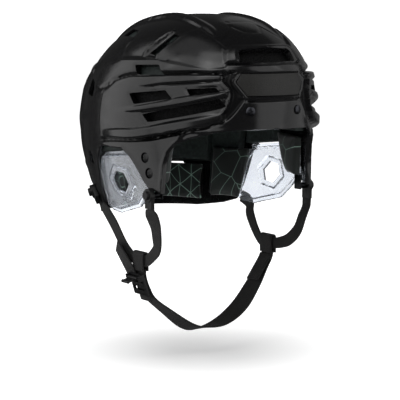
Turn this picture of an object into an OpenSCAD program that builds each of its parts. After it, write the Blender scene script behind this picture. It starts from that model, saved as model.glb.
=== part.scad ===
// Ice hockey helmet: a moulded shell with cut gills, a foam liner with comfort
// pads, clear ear guards, a dial-set nape cradle and a chin strap harness.
// Millimetres. +Z up, -Y towards the face. -X is the wearer's right.
// The origin lies in the mid plane, level with the brow edge, where the head sits.

/* [Shell form] */
// Half width of the shell at its widest, without the gills
half_w = 98.5; // [92:0.5:106]
// Reach of the shell ahead of the origin
front_len = 145; // [136:0.5:154]
// Reach of the shell behind the origin
back_len = 140; // [132:0.5:150]
// Height of the crown over the brow edge
crown_h = 106; // [98:0.5:114]
// How far the crown leans forward
crown_lean = 20; // [12:0.5:28]
// Roundness of the shell seen from above, 2 is an ellipse
plan_n = 2.06; // [2:0.01:2.3]
// Roundness of the shell seen from the side and the front
dome_n = 2.38; // [2.1:0.01:2.7]
// How much the shell draws in 100 mm below the brow edge
jaw_taper = 0.19; // [0.12:0.01:0.24]
// How much the temples widen in 100 mm below the brow edge
temple_flare = 0.03; // [0:0.005:0.05]
// Thickness of the shell
wall = 3; // [2.4:0.1:3.6]
// Drop of the temple lobes below the brow edge
lobe_drop = 63; // [54:0.5:70]
// Drop of the arch over each ear
arch_drop = 21; // [17:0.5:25]
// Drop of the lobes behind the ears
rear_drop = 88; // [82:0.5:92]
// Drop of the nape edge
nape_drop = 97; // [93:0.5:102]

/* [Gills and vents] */
// Height of the tallest gill rib
gill_h = 9; // [5:0.5:11]
// Width of the gill ribs
gill_w = 9; // [7:0.5:11]
// Corner radius of the vents
vent_r = 1.8; // [1.2:0.1:2.2]
// Height of the two crown ridges
ridge_h = 4; // [2.5:0.5:5.5]
// Height of the front frames
frame_h = 3; // [2:0.25:4]
// Half angle of the front vent round the shell
vent_half = 19; // [15:0.5:22]

/* [Front plates] */
// Height of the name plate, which is bare
badge_h = 20; // [16:0.5:22]
// Thickness of the name plate
badge_t = 1.4; // [1:0.1:2]
// Level of the name plate's middle
badge_z = 41; // [39:0.5:43]
// Height of the brow plate above the shell
brow_t = 2.4; // [1.6:0.1:3]

/* [Foam and pads] */
// Thickness of the vent screens
screen_t = 1.1; // [0.8:0.1:1.4]
// Gap between layers that lie on each other
lie_gap = 0.8; // [0.7:0.05:0.95]
// Thickness of the foam liner
foam_t = 9.5; // [8:0.5:11]
// Thickness of the comfort pads
pad_t = 9; // [7:0.5:11]
// Thickness of the pads on the temple lobes
temple_t = 14; // [11:0.5:16]

/* [Ear guards] */
// Thickness of the clear ear guards
guard_t = 2.4; // [1.8:0.1:3]
// Height of the raised ring round the ear hole
ring_h = 1.6; // [1:0.1:2.4]
// Radius of the hexagonal ear hole
hole_r = 11.5; // [9:0.25:13]
// Width of the ring round the ear hole
ring_w = 5; // [3.5:0.25:6]

/* [Fasteners] */
// Radius of the screw shanks
shank_r = 2; // [1.6:0.1:2.4]
// Clearance of a shank in its hole
shank_gap = 0.4; // [0.3:0.05:0.6]
// Radius of the screw heads
head_r = 4.4; // [3.8:0.1:5]
// Height of the screw heads
head_h = 2; // [1.6:0.1:2.6]
// Angle of the brow screws from the mid plane
brow_screw_a = 14.5; // [12:0.5:16]
// Level of the brow screws
brow_screw_z = 17; // [14:0.5:20]

/* [Straps] */
// Width of the strap webbing
web_w = 20; // [16:0.5:22]
// Thickness of the strap webbing
web_t = 1.6; // [1.2:0.1:2]
// Width of the side strap where it gathers in the loops
web_neck = 11; // [9:0.5:12]
// Distance of the side loops from the mid plane
loop_x = 75; // [70:0.5:80]
// Place of the side loops ahead of the origin
loop_y = 24; // [20:0.5:28]
// Drop of the loop on the wearer's right
loop_drop_r = 134; // [130:0.5:138]
// Drop of the loop on the wearer's left
loop_drop_l = 127; // [124:0.5:132]
// Place behind the origin where the right side strap leaves the lobe behind the ear
strap_back_r = 32; // [26:0.5:36]
// The same for the left side strap
strap_back_l = 20; // [16:0.5:30]
// Drop of the lowest point of the chin strap
chin_drop = 207; // [198:0.5:214]
// Radius of the snap studs
stud_r = 3; // [2.4:0.1:3.6]
// Running clearance of the caps on the studs
snap_gap = 0.05; // [0.03:0.01:0.08]
// Radius of the snap tabs' round heads
tab_r = 6.75; // [6.5:0.25:8.5]
// Thickness of the snap tabs
tab_t = 4.5; // [4:0.25:6]

/* [Fit dial] */
// Radius of the dial's knob
dial_r = 17; // [14:0.5:19]
// Depth of the dial's knob
dial_h = 9; // [7:0.5:11]
// Radius of the dial's spindle
spindle_r = 4; // [3:0.25:5]
// Running clearance of the spindle
spindle_gap = 0.05; // [0.03:0.01:0.08]
// Level of the dial below the brow edge
dial_drop = 66; // [62:0.5:70]
// Depth of the nape cradle inside the shell
cradle_in = 16; // [14:0.5:20]
// Thickness of the nape cradle
cradle_t = 2.4; // [1.8:0.1:3]

/* [Hidden] */

// Depths of the layers, measured inwards from the outside of the shell
d_screen = wall + lie_gap;
d_foam = d_screen + screen_t + lie_gap;
d_pad = d_foam + foam_t + lie_gap;
// The lower rim of the shell as [angle from the front, height]
rim_line = [[0, 0], [24, -1], [34, -4], [44, -9], [51, -15], [54, -22], [55.8, -34],
    [56.5, -48], [57, 1 - lobe_drop], [63.8, 5 - lobe_drop], [66.4, -51.5], [69.5, -42], [74, -30],
    [79, -arch_drop - 1], [86, -arch_drop - 1], [93, -arch_drop], [98, -arch_drop - 5],
    [101.5, -38], [104, -62], [106, -80], [109, -rear_drop], [118, -rear_drop - 5],
    [135, -nape_drop], [180, -nape_drop]];
lower_rows = 3;
upper_rows = 7;
join_z = 12;

function spow(v, e) = sign(v) * pow(abs(v), e);
function unit(v) = v / norm(v);
function ease(t) = let (c = min(max(t, 0), 1)) c * c * (3 - 2 * c);
// Angles from the front where the temples' outline starts to turn into the jaw's
flare_from = 50;
flare_span = 38;
// Share of the full outline that is left at a height. Below the brow edge the shell
// draws in behind the ears and widens a little at the temples.
function girth(a, z) = z > 0 ? pow(1 - pow(min(z, crown_h) / crown_h, dome_n), 1 / dome_n)
    : let (t = ease((abs(a > 180 ? a - 360 : a) - flare_from) / flare_span))
        1 - jaw_taper * pow(-z / 100, 1.9) * t + temple_flare * (1 - t) * (-z / 100);
// A point on the outside of the shell: a is the angle from the front, z the height
function skin(a, z) = let (k = girth(a, z), s = spow(sin(a), 2 / plan_n), c = -spow(cos(a), 2 / plan_n))
    [k * half_w * s, k * (c < 0 ? front_len : back_len) * c
        - crown_lean * pow(max(z, 0) / crown_h, 1.3), z];
// The outward direction there
function facing(a, z) = let (e = 0.4) unit(cross(skin(a + e, z) - skin(a - e, z),
    skin(a, z + e) - skin(a, z - e)));
// A point at height d over the skin, below it where d is negative
function over(a, z, d) = skin(a, z) + d * facing(a, z);
function rim(a) = lookup(abs(a), rim_line);
function mix(a, b, t) = a + (b - a) * t;
// Heights of the rows from the join to the top
function rise(i) = let (p0 = asin(pow(join_z / crown_h, dome_n / 2)))
    crown_h * pow(sin(mix(p0, 87.5, i / upper_rows)), 2 / dome_n);
// Angles of the columns: one at each corner of the rim, none over 9 degrees apart
half_cols = [for (i = [0:len(rim_line) - 2]) let (a = rim_line[i][0], b = rim_line[i + 1][0],
    n = ceil((b - a) / 9)) for (j = [0:n - 1]) mix(a, b, j / n)];
all_cols = concat([for (a = half_cols) a], [180],
    [for (i = [len(half_cols) - 1:-1:1]) -half_cols[i]]);

// Triangles of a quad strip between two rows of n points, closed round or open
function strip(a, b, n, wrap) = [for (i = [0:n - (wrap ? 1 : 2)]) let (j = (i + 1) % n)
    each [[a + i, b + i, b + j], [a + i, b + j, a + j]]];

// A closed dome between two depths, from the rim up to the apex
module dome(d_out, d_in, low) {
    n = len(all_cols);
    m = lower_rows + upper_rows;
    function row_z(a, j) = j < lower_rows ? mix(max(rim(a), low), join_z, j / lower_rows)
        : rise(j - lower_rows);
    function sheet(d) = [for (j = [0:m]) for (a = all_cols) over(a, row_z(a, j), d)];
    pts = concat(sheet(d_out), [over(0, crown_h - 0.5, d_out) - [0, over(0, crown_h - 0.5, 0)[1]
            - skin(0, crown_h)[1], 0]],
        sheet(d_in), [skin(0, crown_h) + [0, 0, d_in]]);
    q = n * (m + 1) + 1;
    outer = [for (j = [0:m - 1]) each strip(j * n, (j + 1) * n, n, true)];
    cap = [for (i = [0:n - 1]) [m * n + i, q - 1, m * n + (i + 1) % n]];
    inner = [for (t = concat(outer, cap)) [t[0] + q, t[2] + q, t[1] + q]];
    polyhedron(points = pts, faces = concat(outer, cap, inner, strip(q, 0, n, true)));
}

// A closed slab on the skin over a four-cornered field. Each corner is [angle, height].
// d_out and d_in are heights over the skin. swell is the share of the thickness that
// the head side keeps at its edges, and pull draws its sides in between the corners.
module slab(c, nu, nv, d_out, d_in, swell = 1, pull = 0) {
    function field(u, v) = let (p = mix(mix(c[0], c[1], u), mix(c[3], c[2], u), v),
        m = (c[0] + c[1] + c[2] + c[3]) / 4, k = 1 - pull * (sin(180 * u) * pow(2 * v - 1, 2)
            + sin(180 * v) * pow(2 * u - 1, 2))) m + (p - m) * k;
    function full(u, v) = swell + (1 - swell) * pow(sin(180 * u) * sin(180 * v), 0.45);
    n = nu + 1;
    q = n * (nv + 1);
    top = [for (j = [0:nv]) for (i = [0:nu]) let (p = field(i / nu, j / nv)) over(p[0], p[1], d_out)];
    low = [for (j = [0:nv]) for (i = [0:nu]) let (p = field(i / nu, j / nv))
        over(p[0], p[1], mix(d_out, d_in, full(i / nu, j / nv)))];
    face = [for (j = [0:nv - 1]) each strip(j * n, (j + 1) * n, n, false)];
    side = [for (i = [0:nu - 1]) each [[i, i + 1, q + i + 1], [i, q + i + 1, q + i],
            [nv * n + i, q + nv * n + i, q + nv * n + i + 1],
            [nv * n + i, q + nv * n + i + 1, nv * n + i + 1]],
        for (j = [0:nv - 1]) each [[j * n, q + j * n, q + (j + 1) * n], [j * n, q + (j + 1) * n, (j + 1) * n],
            [j * n + nu, (j + 1) * n + nu, q + (j + 1) * n + nu],
            [j * n + nu, q + (j + 1) * n + nu, q + j * n + nu]]];
    under = [for (t = face) [t[0] + q, t[2] + q, t[1] + q]];
    polyhedron(points = concat(top, low), faces = concat(face, under, side));
}

// A raised rib that runs over the skin. Each station is [angle, height, width, lift].
module rib(s, slope = 1.2) {
    n = len(s);
    function at(i) = skin(s[i][0], s[i][1]);
    pts = [for (i = [0:n - 1]) let (f = facing(s[i][0], s[i][1]),
        t = at(min(i + 1, n - 1)) - at(max(i - 1, 0)), w = unit(cross(f, t)),
        h = s[i][2] / 2, g = max(h - slope, 0.4))
        each [at(i) - f * 1.2 - w * h, at(i) - f * 1.2 + w * h,
            at(i) + f * s[i][3] + w * g, at(i) + f * s[i][3] - w * g]];
    body = [for (i = [0:n - 2]) for (k = [0:3]) let (a = 4 * i + k, b = 4 * i + (k + 1) % 4)
        each [[a, b + 4, b], [a, a + 4, b + 4]]];
    ends = [[0, 1, 2], [0, 2, 3], [4 * n - 4, 4 * n - 2, 4 * n - 3], [4 * n - 4, 4 * n - 1, 4 * n - 2]];
    polyhedron(points = pts, faces = concat(body, ends));
}
// Points of a smooth curve through the named ones, n for each stretch
function bend(p, n) = [for (i = [0:len(p) - 2]) for (j = [0:n - 1]) let (t = j / n,
    a = p[max(i - 1, 0)], b = p[i], c = p[i + 1], d = p[min(i + 2, len(p) - 1)])
    0.5 * (2 * b + (c - a) * t + (2 * a - 5 * b + 4 * c - d) * t * t + (3 * b - a - 3 * c + d) * t * t * t),
    p[len(p) - 1]];

// Turns +Z to the outward direction of the skin at a place on it
module on_skin(a, z, d = 0) {
    f = facing(a, z);
    p = over(a, z, d);
    translate(p) rotate([0, acos(f[2]), atan2(f[1], f[0])]) children();
}

// A slot through the shell. Each station is [angle, low edge, high edge].
module vent(s, r = vent_r) {
    for (i = [0:len(s) - 2])
        hull()
            for (p = [s[i], s[i + 1]])
                for (z = [p[1] + r, p[2] - r])
                    on_skin(p[0], z, -wall - 3) cylinder(r = r, h = wall + 18, $fn = 6);
}

module both_sides() {
    children();
    mirror([1, 0, 0]) children();
}
module side(s) {
    if (s > 0) children();
    else mirror([1, 0, 0]) children();
}

// Places of the lobe screws and of the rear snap, as [angle, height]
lobe_screw_at = [[65.4, -29], [63.2, -43.5]];
rear_snap = [117, -72];
// The round nuts and the flanges of the studs
nut_r = 5.5;
nut_h = 1.6;
// Angle from the front at which the nape pad starts, and the height of its top edge
nape_from = 127;
nape_top = -58;
// The dial's seat, the face that its hub ends at and the cradle's boss beyond
hub_r = spindle_r + 4;
dial_face_y = skin(180, -dial_drop)[1] + 1;
well_depth = 3;
seat_y = dial_face_y - well_depth + 1;
flange_t = 2;
cradle_y = dial_face_y - cradle_in + 3;
hub_len = seat_y - cradle_y - 0.3;
boss_len = 9;
// Front snaps: a hanger plate inside the lobe carries a stud along X, just below the lobe
hanger_t = 1.2;
hanger_x = skin(58, -lobe_drop)[0] - wall - lie_gap - 1.4;
hanger_y = skin(62, -lobe_drop)[1];
front_stud_z = -lobe_drop - 1.5;
front_tab_x = skin(66, -lobe_drop)[0] + 0.8;

// The ribs of one side, as stations of [angle, height, width, lift]
gill_top = bend([[90, 33, 5, 0.5], [80, 37, gill_w, gill_h * 0.45], [58, 41.5, gill_w, gill_h * 0.6],
    [28, 45, gill_w, gill_h * 0.35]], 2);
gill_mid = bend([[88, 10, 4, 0.5], [80, 14.5, gill_w * 0.6, gill_h * 0.6],
    [58, 21, gill_w * 0.65, gill_h * 0.8], [28, 31, gill_w * 0.55, gill_h * 0.4]], 2);
gill_low = bend([[94, -6, 4, 0.5], [80, -3, gill_w, gill_h * 0.7],
    [58, 2.5, gill_w * 1.1, gill_h], [31, 11.5, gill_w * 0.9, gill_h * 0.45]], 2);
gill_sill = bend([[96, -14, 4, 0.4], [80, -15, gill_w * 0.9, gill_h * 0.35],
    [58, -9, gill_w * 0.9, gill_h * 0.4], [34, 1, gill_w * 0.7, gill_h * 0.25]], 2);
upper_rib = bend([[98, 50, 4, 0.4], [86, 57, 6, gill_h * 0.3], [70, 64, 6, gill_h * 0.35],
    [52, 61, 7, gill_h * 0.35], [27, 56, 6, gill_h * 0.3]], 2);
ridge_path = bend([[26, 62, 5, 1.5], [29, 78, 6, ridge_h * 0.6], [40, 93, 9, ridge_h],
    [58, crown_h - 5.5, 11, ridge_h], [90, crown_h - 3.2, 12, ridge_h], [118, crown_h - 5.5, 11, ridge_h],
    [137, 93, 9, ridge_h], [148, 76, 7, ridge_h * 0.6], [152, 60, 5, 0.5]], 2);
kite_edge = [[40, 93, 5, 2], [48, 88, 5, 2], [58, 79, 5, 2], [69, 66, 5, 2], [60, 63, 4.5, 2],
    [48, 63.5, 4, 1.5]];
front_frame = bend([[27, 58, 4, 1], [22.5, 43, 5, frame_h], [29, 24, 5, frame_h],
    [34, 3, 4, frame_h * 0.6]], 2);
rear_rib = bend([[112, 62, 5, 0.5], [128, 30, 8, frame_h], [126, -20, 8, frame_h], [124, -60, 6, 1]], 3);
rear_bar = bend([[118, -44, 5, 1], [135, -46, 6, frame_h * 0.8], [160, -42, 6, frame_h * 0.8],
    [180, -41, 6, frame_h * 0.8]], 2);

module side_vents() {
    vent([[77, 49.5, 58], [61, 50.5, 58.5]]);
    vent([[77, 19, 30], [54, 26, 35]]);
    vent([[46, 30, 36], [30, 35, 39.5]]);
    vent([[67, 5.5, 12.5], [48, 12, 19], [29, 19, 26.5]]);
    vent([[77, 71, 79], [68, 86, 92]]);
    vent([[107, 24, 36], [115, 26, 42]]);
    vent([[107, -44, -36], [113, -42, -30]]);
    vent([[143, -60, -53], [158, -59, -53]]);
    vent([[138, 8, 20], [150, 8, 24]]);
    vent([[150, 66, 74], [163, 66, 76]]);
    vent([[100, 84, 90], [120, 84, 91]]);
}
module screw_hole(a, z, d_from, depth) {
    on_skin(a, z, d_from - depth) cylinder(r = shank_r + shank_gap, h = depth + 4, $fn = 12);
}

// The shell, its gills, ridges, frames and all its vents
module shell() {
    color("#1d1e20")
    difference() {
        union() {
            dome(0, -wall, -nape_drop);
            both_sides() {
                for (s = [gill_top, gill_mid, gill_low, gill_sill, upper_rib, ridge_path, kite_edge,
                    front_frame, rear_rib, rear_bar]) rib(s);
            }
            // Frame of the front vent, rim of the plate and the brow plate
            rib(bend([[-25, 60, 4, frame_h], [-23, 76, 5, frame_h], [0, 77.5, 5, frame_h],
                [23, 76, 5, frame_h], [25, 60, 4, frame_h]], 2));
            rib(bend([[-24, 55.5, 7, frame_h], [0, 56.5, 7, frame_h], [24, 55.5, 7, frame_h]], 3));
            rib(bend([[-17, badge_z - badge_h / 2 - 2, 2.5, 2], [0, badge_z - badge_h / 2 - 2, 2.5, 2],
                [17, badge_z - badge_h / 2 - 2, 2.5, 2]], 2));
            slab([[-25, 2], [25, 2], [17, 26], [-17, 26]], 8, 2, brow_t, -1);
            // Boss under the dial
            translate([0, seat_y - 2, -dial_drop]) rotate([-90, 0, 0])
                cylinder(r = dial_r + 5, h = well_depth + 2, $fn = 32);
        }
        both_sides() side_vents();
        vent([[-vent_half, 61, 71.5], [0, 61.5, 74], [vent_half, 61, 71.5]]);
        for (a = [-1, 1]) screw_hole(a * brow_screw_a, brow_screw_z, brow_t, wall + 6);
        both_sides() for (p = lobe_screw_at) {
            screw_hole(p[0], p[1], 0, wall + 2);
            on_skin(p[0], p[1], -1) cylinder(r = head_r + 0.7, h = 4, $fn = 16);
        }
        both_sides() on_skin(rear_snap[0], rear_snap[1], -wall - 2)
            cylinder(r = stud_r + shank_gap, h = wall + 6, $fn = 12);
        // Well for the dial and the bore for its housing
        translate([0, seat_y - 0.05, -dial_drop]) rotate([-90, 0, 0])
            cylinder(r = dial_r + 1.2, h = 12, $fn = 32);
        translate([0, seat_y - 10, -dial_drop]) rotate([-90, 0, 0])
            cylinder(r = hub_r + 0.5, h = 20, $fn = 32);
    }
}

// The bare plate that lies in the frame on the forehead
module badge_plate() {
    color("#2b2c2e")
    slab([[-17, badge_z - badge_h / 2], [17, badge_z - badge_h / 2], [20, badge_z + badge_h / 2],
        [-20, badge_z + badge_h / 2]], 8, 2, badge_t + 0.5, 0.5);
}

// Black screens behind the gills and the front vent
module vent_screen() {
    color("#0e0e0f")
    slab([[84, -1], [26, 14], [26, 42], [84, 40]], 8, 3, -d_screen - screen_t, -d_screen);
}
module vent_screen_right() { side(-1) vent_screen(); }
module vent_screen_left() { side(1) vent_screen(); }
module front_screen() {
    color("#0e0e0f")
    slab([[-23, 58], [23, 58], [22, 77], [-22, 77]], 6, 2, -d_screen, -d_screen - screen_t);
}

// Cuts the room for a nut and the end of its screw
module nut_room(a, z) {
    on_skin(a, z, -wall - 14) cylinder(r = nut_r + 0.5, h = 14, $fn = 24);
}

// How far below the top of the crown its foam and its pad end
foam_drop = 24.5;
crown_pad_drop = 13;
// The top edge of the front, side and rear foam, below the crown's
liner_top = crown_h - foam_drop - 3.5;
// Foam liner: front, crown, both sides and rear
module liner_front() {
    color("#2e3a38")
    difference() {
        slab([[-49, 0], [49, 0], [49, liner_top], [-49, liner_top]], 12, 5, -d_foam, -d_foam - foam_t - 3);
        for (a = [-1, 1]) nut_room(a * brow_screw_a, brow_screw_z);
    }
}
module liner_side() {
    color("#2e3a38")
    slab([[50.5, -8], [101, -14], [101, liner_top], [50.5, liner_top]], 6, 5, -d_foam, -d_foam - foam_t);
    slab([[81, -25], [101, -30.5], [101, -13], [81, -11]], 4, 2, -d_foam, -d_foam - foam_t);
}
module liner_side_right() { side(-1) liner_side(); }
module liner_side_left() { side(1) liner_side(); }
module liner_rear() {
    color("#2e3a38")
    difference() {
        union() {
            both_sides() slab([[107, -rear_drop + 4], [nape_from - 3, -rear_drop + 1], [nape_from - 3, liner_top],
                [102.5, liner_top]], 3, 6, -d_foam, -d_foam - foam_t);
            slab([[nape_from - 3.5, nape_top + 5], [363.5 - nape_from, nape_top + 5], [363.5 - nape_from, liner_top],
                [nape_from - 3.5, liner_top]], 13, 5, -d_foam, -d_foam - foam_t - 8);
        }
        both_sides() on_skin(rear_snap[0], rear_snap[1], -wall - 8) cylinder(r = nut_r + 0.5, h = 8, $fn = 24);
        translate([0, seat_y - 40, -dial_drop]) rotate([-90, 0, 0]) cylinder(r = dial_r + 6, h = 60, $fn = 32);
    }
}
module liner_crown() {
    color("#2e3a38")
    crown_layer(crown_h - foam_drop, -d_screen, -d_foam - foam_t);
}
// A cap over the top of the head between two depths
module crown_layer(z0, d_out, d_in) {
    n = 24;
    m = 4;
    p0 = asin(pow(z0 / crown_h, dome_n / 2));
    function lift(j) = crown_h * pow(sin(mix(p0, 86.5, j / m)), 2 / dome_n);
    function sheet(d) = [for (j = [0:m]) for (i = [0:n - 1]) over(i * 360 / n, lift(j), d)];
    top = skin(0, crown_h);
    q = n * (m + 1) + 1;
    outer = [for (j = [0:m - 1]) each strip(j * n, (j + 1) * n, n, true)];
    cap = [for (i = [0:n - 1]) [m * n + i, q - 1, m * n + (i + 1) % n]];
    polyhedron(points = concat(sheet(d_out), [top + [0, 0, d_out]], sheet(d_in), [top + [0, 0, d_in]]),
        faces = concat(outer, cap, [for (t = concat(outer, cap)) [t[0] + q, t[2] + q, t[1] + q]],
            strip(q, 0, n, true)));
}

// Comfort pads, crowned towards the head
module forehead_pad() {
    color("#33423f")
    slab([[-47, 3], [47, 3], [47, 44], [-47, 44]], 14, 6, -d_pad - 3, -d_pad - 3 - pad_t, 0.45, 0.04);
}
module temple_pad() {
    color("#33423f")
    difference() {
        slab([[58.8, 10 - lobe_drop], [67, 10 - lobe_drop], [79, -15], [55, -15]], 6, 8,
            -d_guard - guard_t - lie_gap, -d_guard - guard_t - temple_t, 0.5, 0.03);
        for (p = lobe_screw_at) nut_room(p[0], p[1]);
    }
}
module temple_pad_right() { side(-1) temple_pad(); }
module temple_pad_left() { side(1) temple_pad(); }
module side_pad() {
    color("#33423f")
    slab([[60, -8], [100, -14], [100, 50], [54, 50]], 8, 8, -d_pad, -d_pad - pad_t, 0.45, 0.04);
}
module side_pad_right() { side(-1) side_pad(); }
module side_pad_left() { side(1) side_pad(); }
module rear_pad() {
    color("#33423f")
    slab([[99, -rear_drop - 1], [121, -rear_drop - 2], [121, -38], [96, -36]], 8, 8, -d_pad,
        -d_pad - pad_t, 0.45, 0.03);
}
module rear_pad_right() { side(-1) rear_pad(); }
module rear_pad_left() { side(1) rear_pad(); }
module crown_pad() {
    color("#33423f")
    crown_layer(crown_h - crown_pad_drop, -d_pad, -d_pad - pad_t * 0.8);
}

// Clear ear guards: a plate that follows the skin, cut to its outline, with a raised
// hexagonal ring round the ear hole
d_guard = wall + lie_gap;
guard_line = [[-71, -24], [-52, -24.5], [-37, -28.5], [14, -33.5], [32, -46], [34, -84], [24, -89],
    [6, -91], [-37, -80.5], [-63, -60], [-72, -52]];
ear_at = [-11, -57];
module across(poly, x0, x1) {
    translate([x0, 0, 0]) rotate([90, 0, 90]) linear_extrude(x1 - x0) polygon(poly);
}
function hexagon(r, stretch = 1) = [for (i = [0:5]) ear_at + r * [cos(60 * i + 8) * stretch, sin(60 * i + 8)]];
module ear_guard() {
    color("#d9e2ee", 0.5)
    difference() {
        union() {
            intersection() {
                slab([[57.5, -95], [107, -95], [107, -21], [57.5, -21]], 9, 6, -d_guard, -d_guard - guard_t);
                across(guard_line, 40, 110);
            }
            intersection() {
                slab([[73.5, -80], [98, -80], [98, -34], [73.5, -34]], 4, 4, -d_guard + ring_h, -d_guard - guard_t);
                across(hexagon(hole_r + ring_w, 1.15), 40, 110);
            }
        }
        across(hexagon(hole_r, 1.15), 30, 120);
        for (p = lobe_screw_at) on_skin(p[0], p[1], -12) cylinder(r = shank_r + shank_gap, h = 16, $fn = 16);
    }
}
module ear_guard_right() { side(-1) ear_guard(); }
module ear_guard_left() { side(1) ear_guard(); }

// Screws with cross recesses, and the round nuts behind them
module screw(a, z, d, len) {
    on_skin(a, z, d) difference() {
        union() {
            intersection() {
                cylinder(r = head_r, h = head_h, $fn = 32);
                translate([0, 0, head_h - head_r * 1.6]) sphere(r = head_r * 1.6, $fn = 32);
            }
            translate([0, 0, -len]) cylinder(r = shank_r, h = len + 0.2, $fn = 24);
        }
        for (t = [0, 90]) rotate([0, 0, t]) translate([-head_r * 0.55, -0.5, head_h * 0.45])
            cube([head_r * 1.1, 1, head_h]);
    }
}
module nut(a, z, d) {
    on_skin(a, z, d - nut_h) difference() {
        cylinder(r = nut_r, h = nut_h, $fn = 32);
        translate([0, 0, -1]) cylinder(r = shank_r + 0.05, h = nut_h + 2, $fn = 24);
    }
}
module brow_screws() {
    color("#8d9094")
    for (a = [-1, 1]) screw(a * brow_screw_a, brow_screw_z, brow_t + 0.4, wall + brow_t + nut_h + 2.5);
}
module brow_nuts() {
    color("#a7a9ac")
    for (a = [-1, 1]) nut(a * brow_screw_a, brow_screw_z, -wall - 1.2);
}
module lobe_screws(s) {
    color("#26272a")
    side(s) for (p = lobe_screw_at) screw(p[0], p[1], -0.9, d_guard + guard_t + nut_h);
}
module lobe_screws_right() { lobe_screws(-1); }
module lobe_screws_left() { lobe_screws(1); }
module lobe_nuts() {
    color("#a7a9ac")
    both_sides() for (p = lobe_screw_at) nut(p[0], p[1], -d_guard - guard_t - 0.5);
}

// Snap studs. The front ones stand on a hanger plate inside the lobe's lower edge.
stud_len = 3.4;
tab_gap = 0.3;
tab_reach = 13;
rear_turn = -50;
// The shell curves away from the rear studs' flat flanges, so they lie deeper
rear_nut_gap = 0.7;
module stud_post(foot = 0) {
    translate([0, 0, -foot]) cylinder(r = stud_r, h = stud_len + foot, $fn = 32);
    translate([0, 0, stud_len]) sphere(r = stud_r, $fn = 32);
}
module front_stud(s) {
    color("#b9bcc0")
    side(s) {
        translate([hanger_x, hanger_y - 5.5, front_stud_z - 3.6]) cube([hanger_t, 11, 14.5]);
        translate([front_tab_x - tab_gap, hanger_y, front_stud_z]) rotate([0, 90, 0])
            stud_post(front_tab_x - tab_gap - hanger_x - hanger_t / 2);
    }
}
module front_stud_right() { front_stud(-1); }
module front_stud_left() { front_stud(1); }
module rear_stud(s) {
    flange_at = wall + lie_gap + rear_nut_gap + nut_h;
    color("#b9bcc0")
    side(s) on_skin(rear_snap[0], rear_snap[1], -flange_at) {
        cylinder(r = nut_r, h = nut_h, $fn = 32);
        cylinder(r = stud_r, h = flange_at, $fn = 32);
        translate([0, 0, flange_at]) stud_post();
    }
}
module rear_stud_right() { rear_stud(-1); }
module rear_stud_left() { rear_stud(1); }

// Snap tabs: a round head with a blind bore over the stud, and a tongue for the webbing
module snap_tab(turn = 0) {
    difference() {
        union() {
            cylinder(r = tab_r, h = tab_t, $fn = 48);
            cylinder(r = tab_r * 0.62, h = stud_len + stud_r + 0.9, $fn = 48);
            rotate([0, 0, turn]) translate([0, -tab_r * 0.9, 0]) cube([tab_reach, tab_r * 1.8, tab_t * 0.8]);
        }
        translate([0, 0, -1]) cylinder(r = stud_r + snap_gap, h = stud_len + 1, $fn = 32);
        translate([0, 0, stud_len]) sphere(r = stud_r + snap_gap, $fn = 32);
    }
}
module front_tab(s) {
    color("#1b1b1c")
    side(s) translate([front_tab_x, hanger_y, front_stud_z]) rotate([0, 90, 0]) snap_tab();
}
module front_tab_right() { front_tab(-1); }
module front_tab_left() { front_tab(1); }
module rear_tab(s) {
    color("#1b1b1c")
    side(s) on_skin(rear_snap[0], rear_snap[1], tab_gap) snap_tab(rear_turn);
}
module rear_tab_right() { rear_tab(-1); }
module rear_tab_left() { rear_tab(1); }

// Webbing swept along points. Each point is [x, y, z, width, angle of its faces], and
// may end with a tilt of the face towards Y. A face angle of 0 looks along X, 90 looks up.
module webbing(p, t = web_t) {
    n = len(p);
    function at(i) = [p[i][0], p[i][1], p[i][2]];
    pts = [for (i = [0:n - 1]) let (d = unit(at(min(i + 1, n - 1)) - at(max(i - 1, 0))),
        e = len(p[i]) > 5 ? p[i][5] : 0,
        f0 = [cos(p[i][4]) * cos(e), sin(e), sin(p[i][4]) * cos(e)],
        f = unit(f0 - d * (f0 * d)), w = cross(d, f) * p[i][3] / 2,
        h = f * t / 2) each [at(i) - w - h, at(i) + w - h, at(i) + w + h, at(i) - w + h]];
    body = [for (i = [0:n - 2]) for (k = [0:3]) let (a = 4 * i + k, b = 4 * i + (k + 1) % 4)
        each [[a, b, b + 4], [a, b + 4, a + 4]]];
    ends = [[0, 2, 1], [0, 3, 2], [4 * n - 4, 4 * n - 3, 4 * n - 2], [4 * n - 4, 4 * n - 2, 4 * n - 1]];
    polyhedron(points = pts, faces = concat(body, ends));
}

// A side strap: from the front tab, through the loop, up past the lobe behind the ear to
// the rear tab. back is where it leaves that lobe.
strap_x = front_tab_x + tab_t * 0.4;
tab_end = front_stud_z - tab_reach - 0.5;
rear_end = over(rear_snap[0] - 10, rear_snap[1] - 12.5, tab_gap + tab_t * 0.4);
front_right = [
    [strap_x, hanger_y, tab_end, web_w * 0.66, 0],
    [strap_x - 0.3, hanger_y, tab_end - 3, web_w * 0.8, 0],
    [strap_x - 2.6, hanger_y + 1.2, tab_end - 7, web_w * 0.9, 0],
    [strap_x - 6.5, hanger_y + 4, tab_end - 15, web_w * 0.86, 0],
    [loop_x + 6, hanger_y + 6, 30 - loop_drop_r, web_w * 0.76, 0],
    [loop_x + 3.2, hanger_y + 9, 17 - loop_drop_r, web_w * 0.68, 0],
    [loop_x + 1.4, -loop_y - 27, 9.5 - loop_drop_r, web_w * 0.6, 0],
    [loop_x + 0.4, -loop_y - 13, 1.7 - loop_drop_r, web_neck, 0]];
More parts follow.
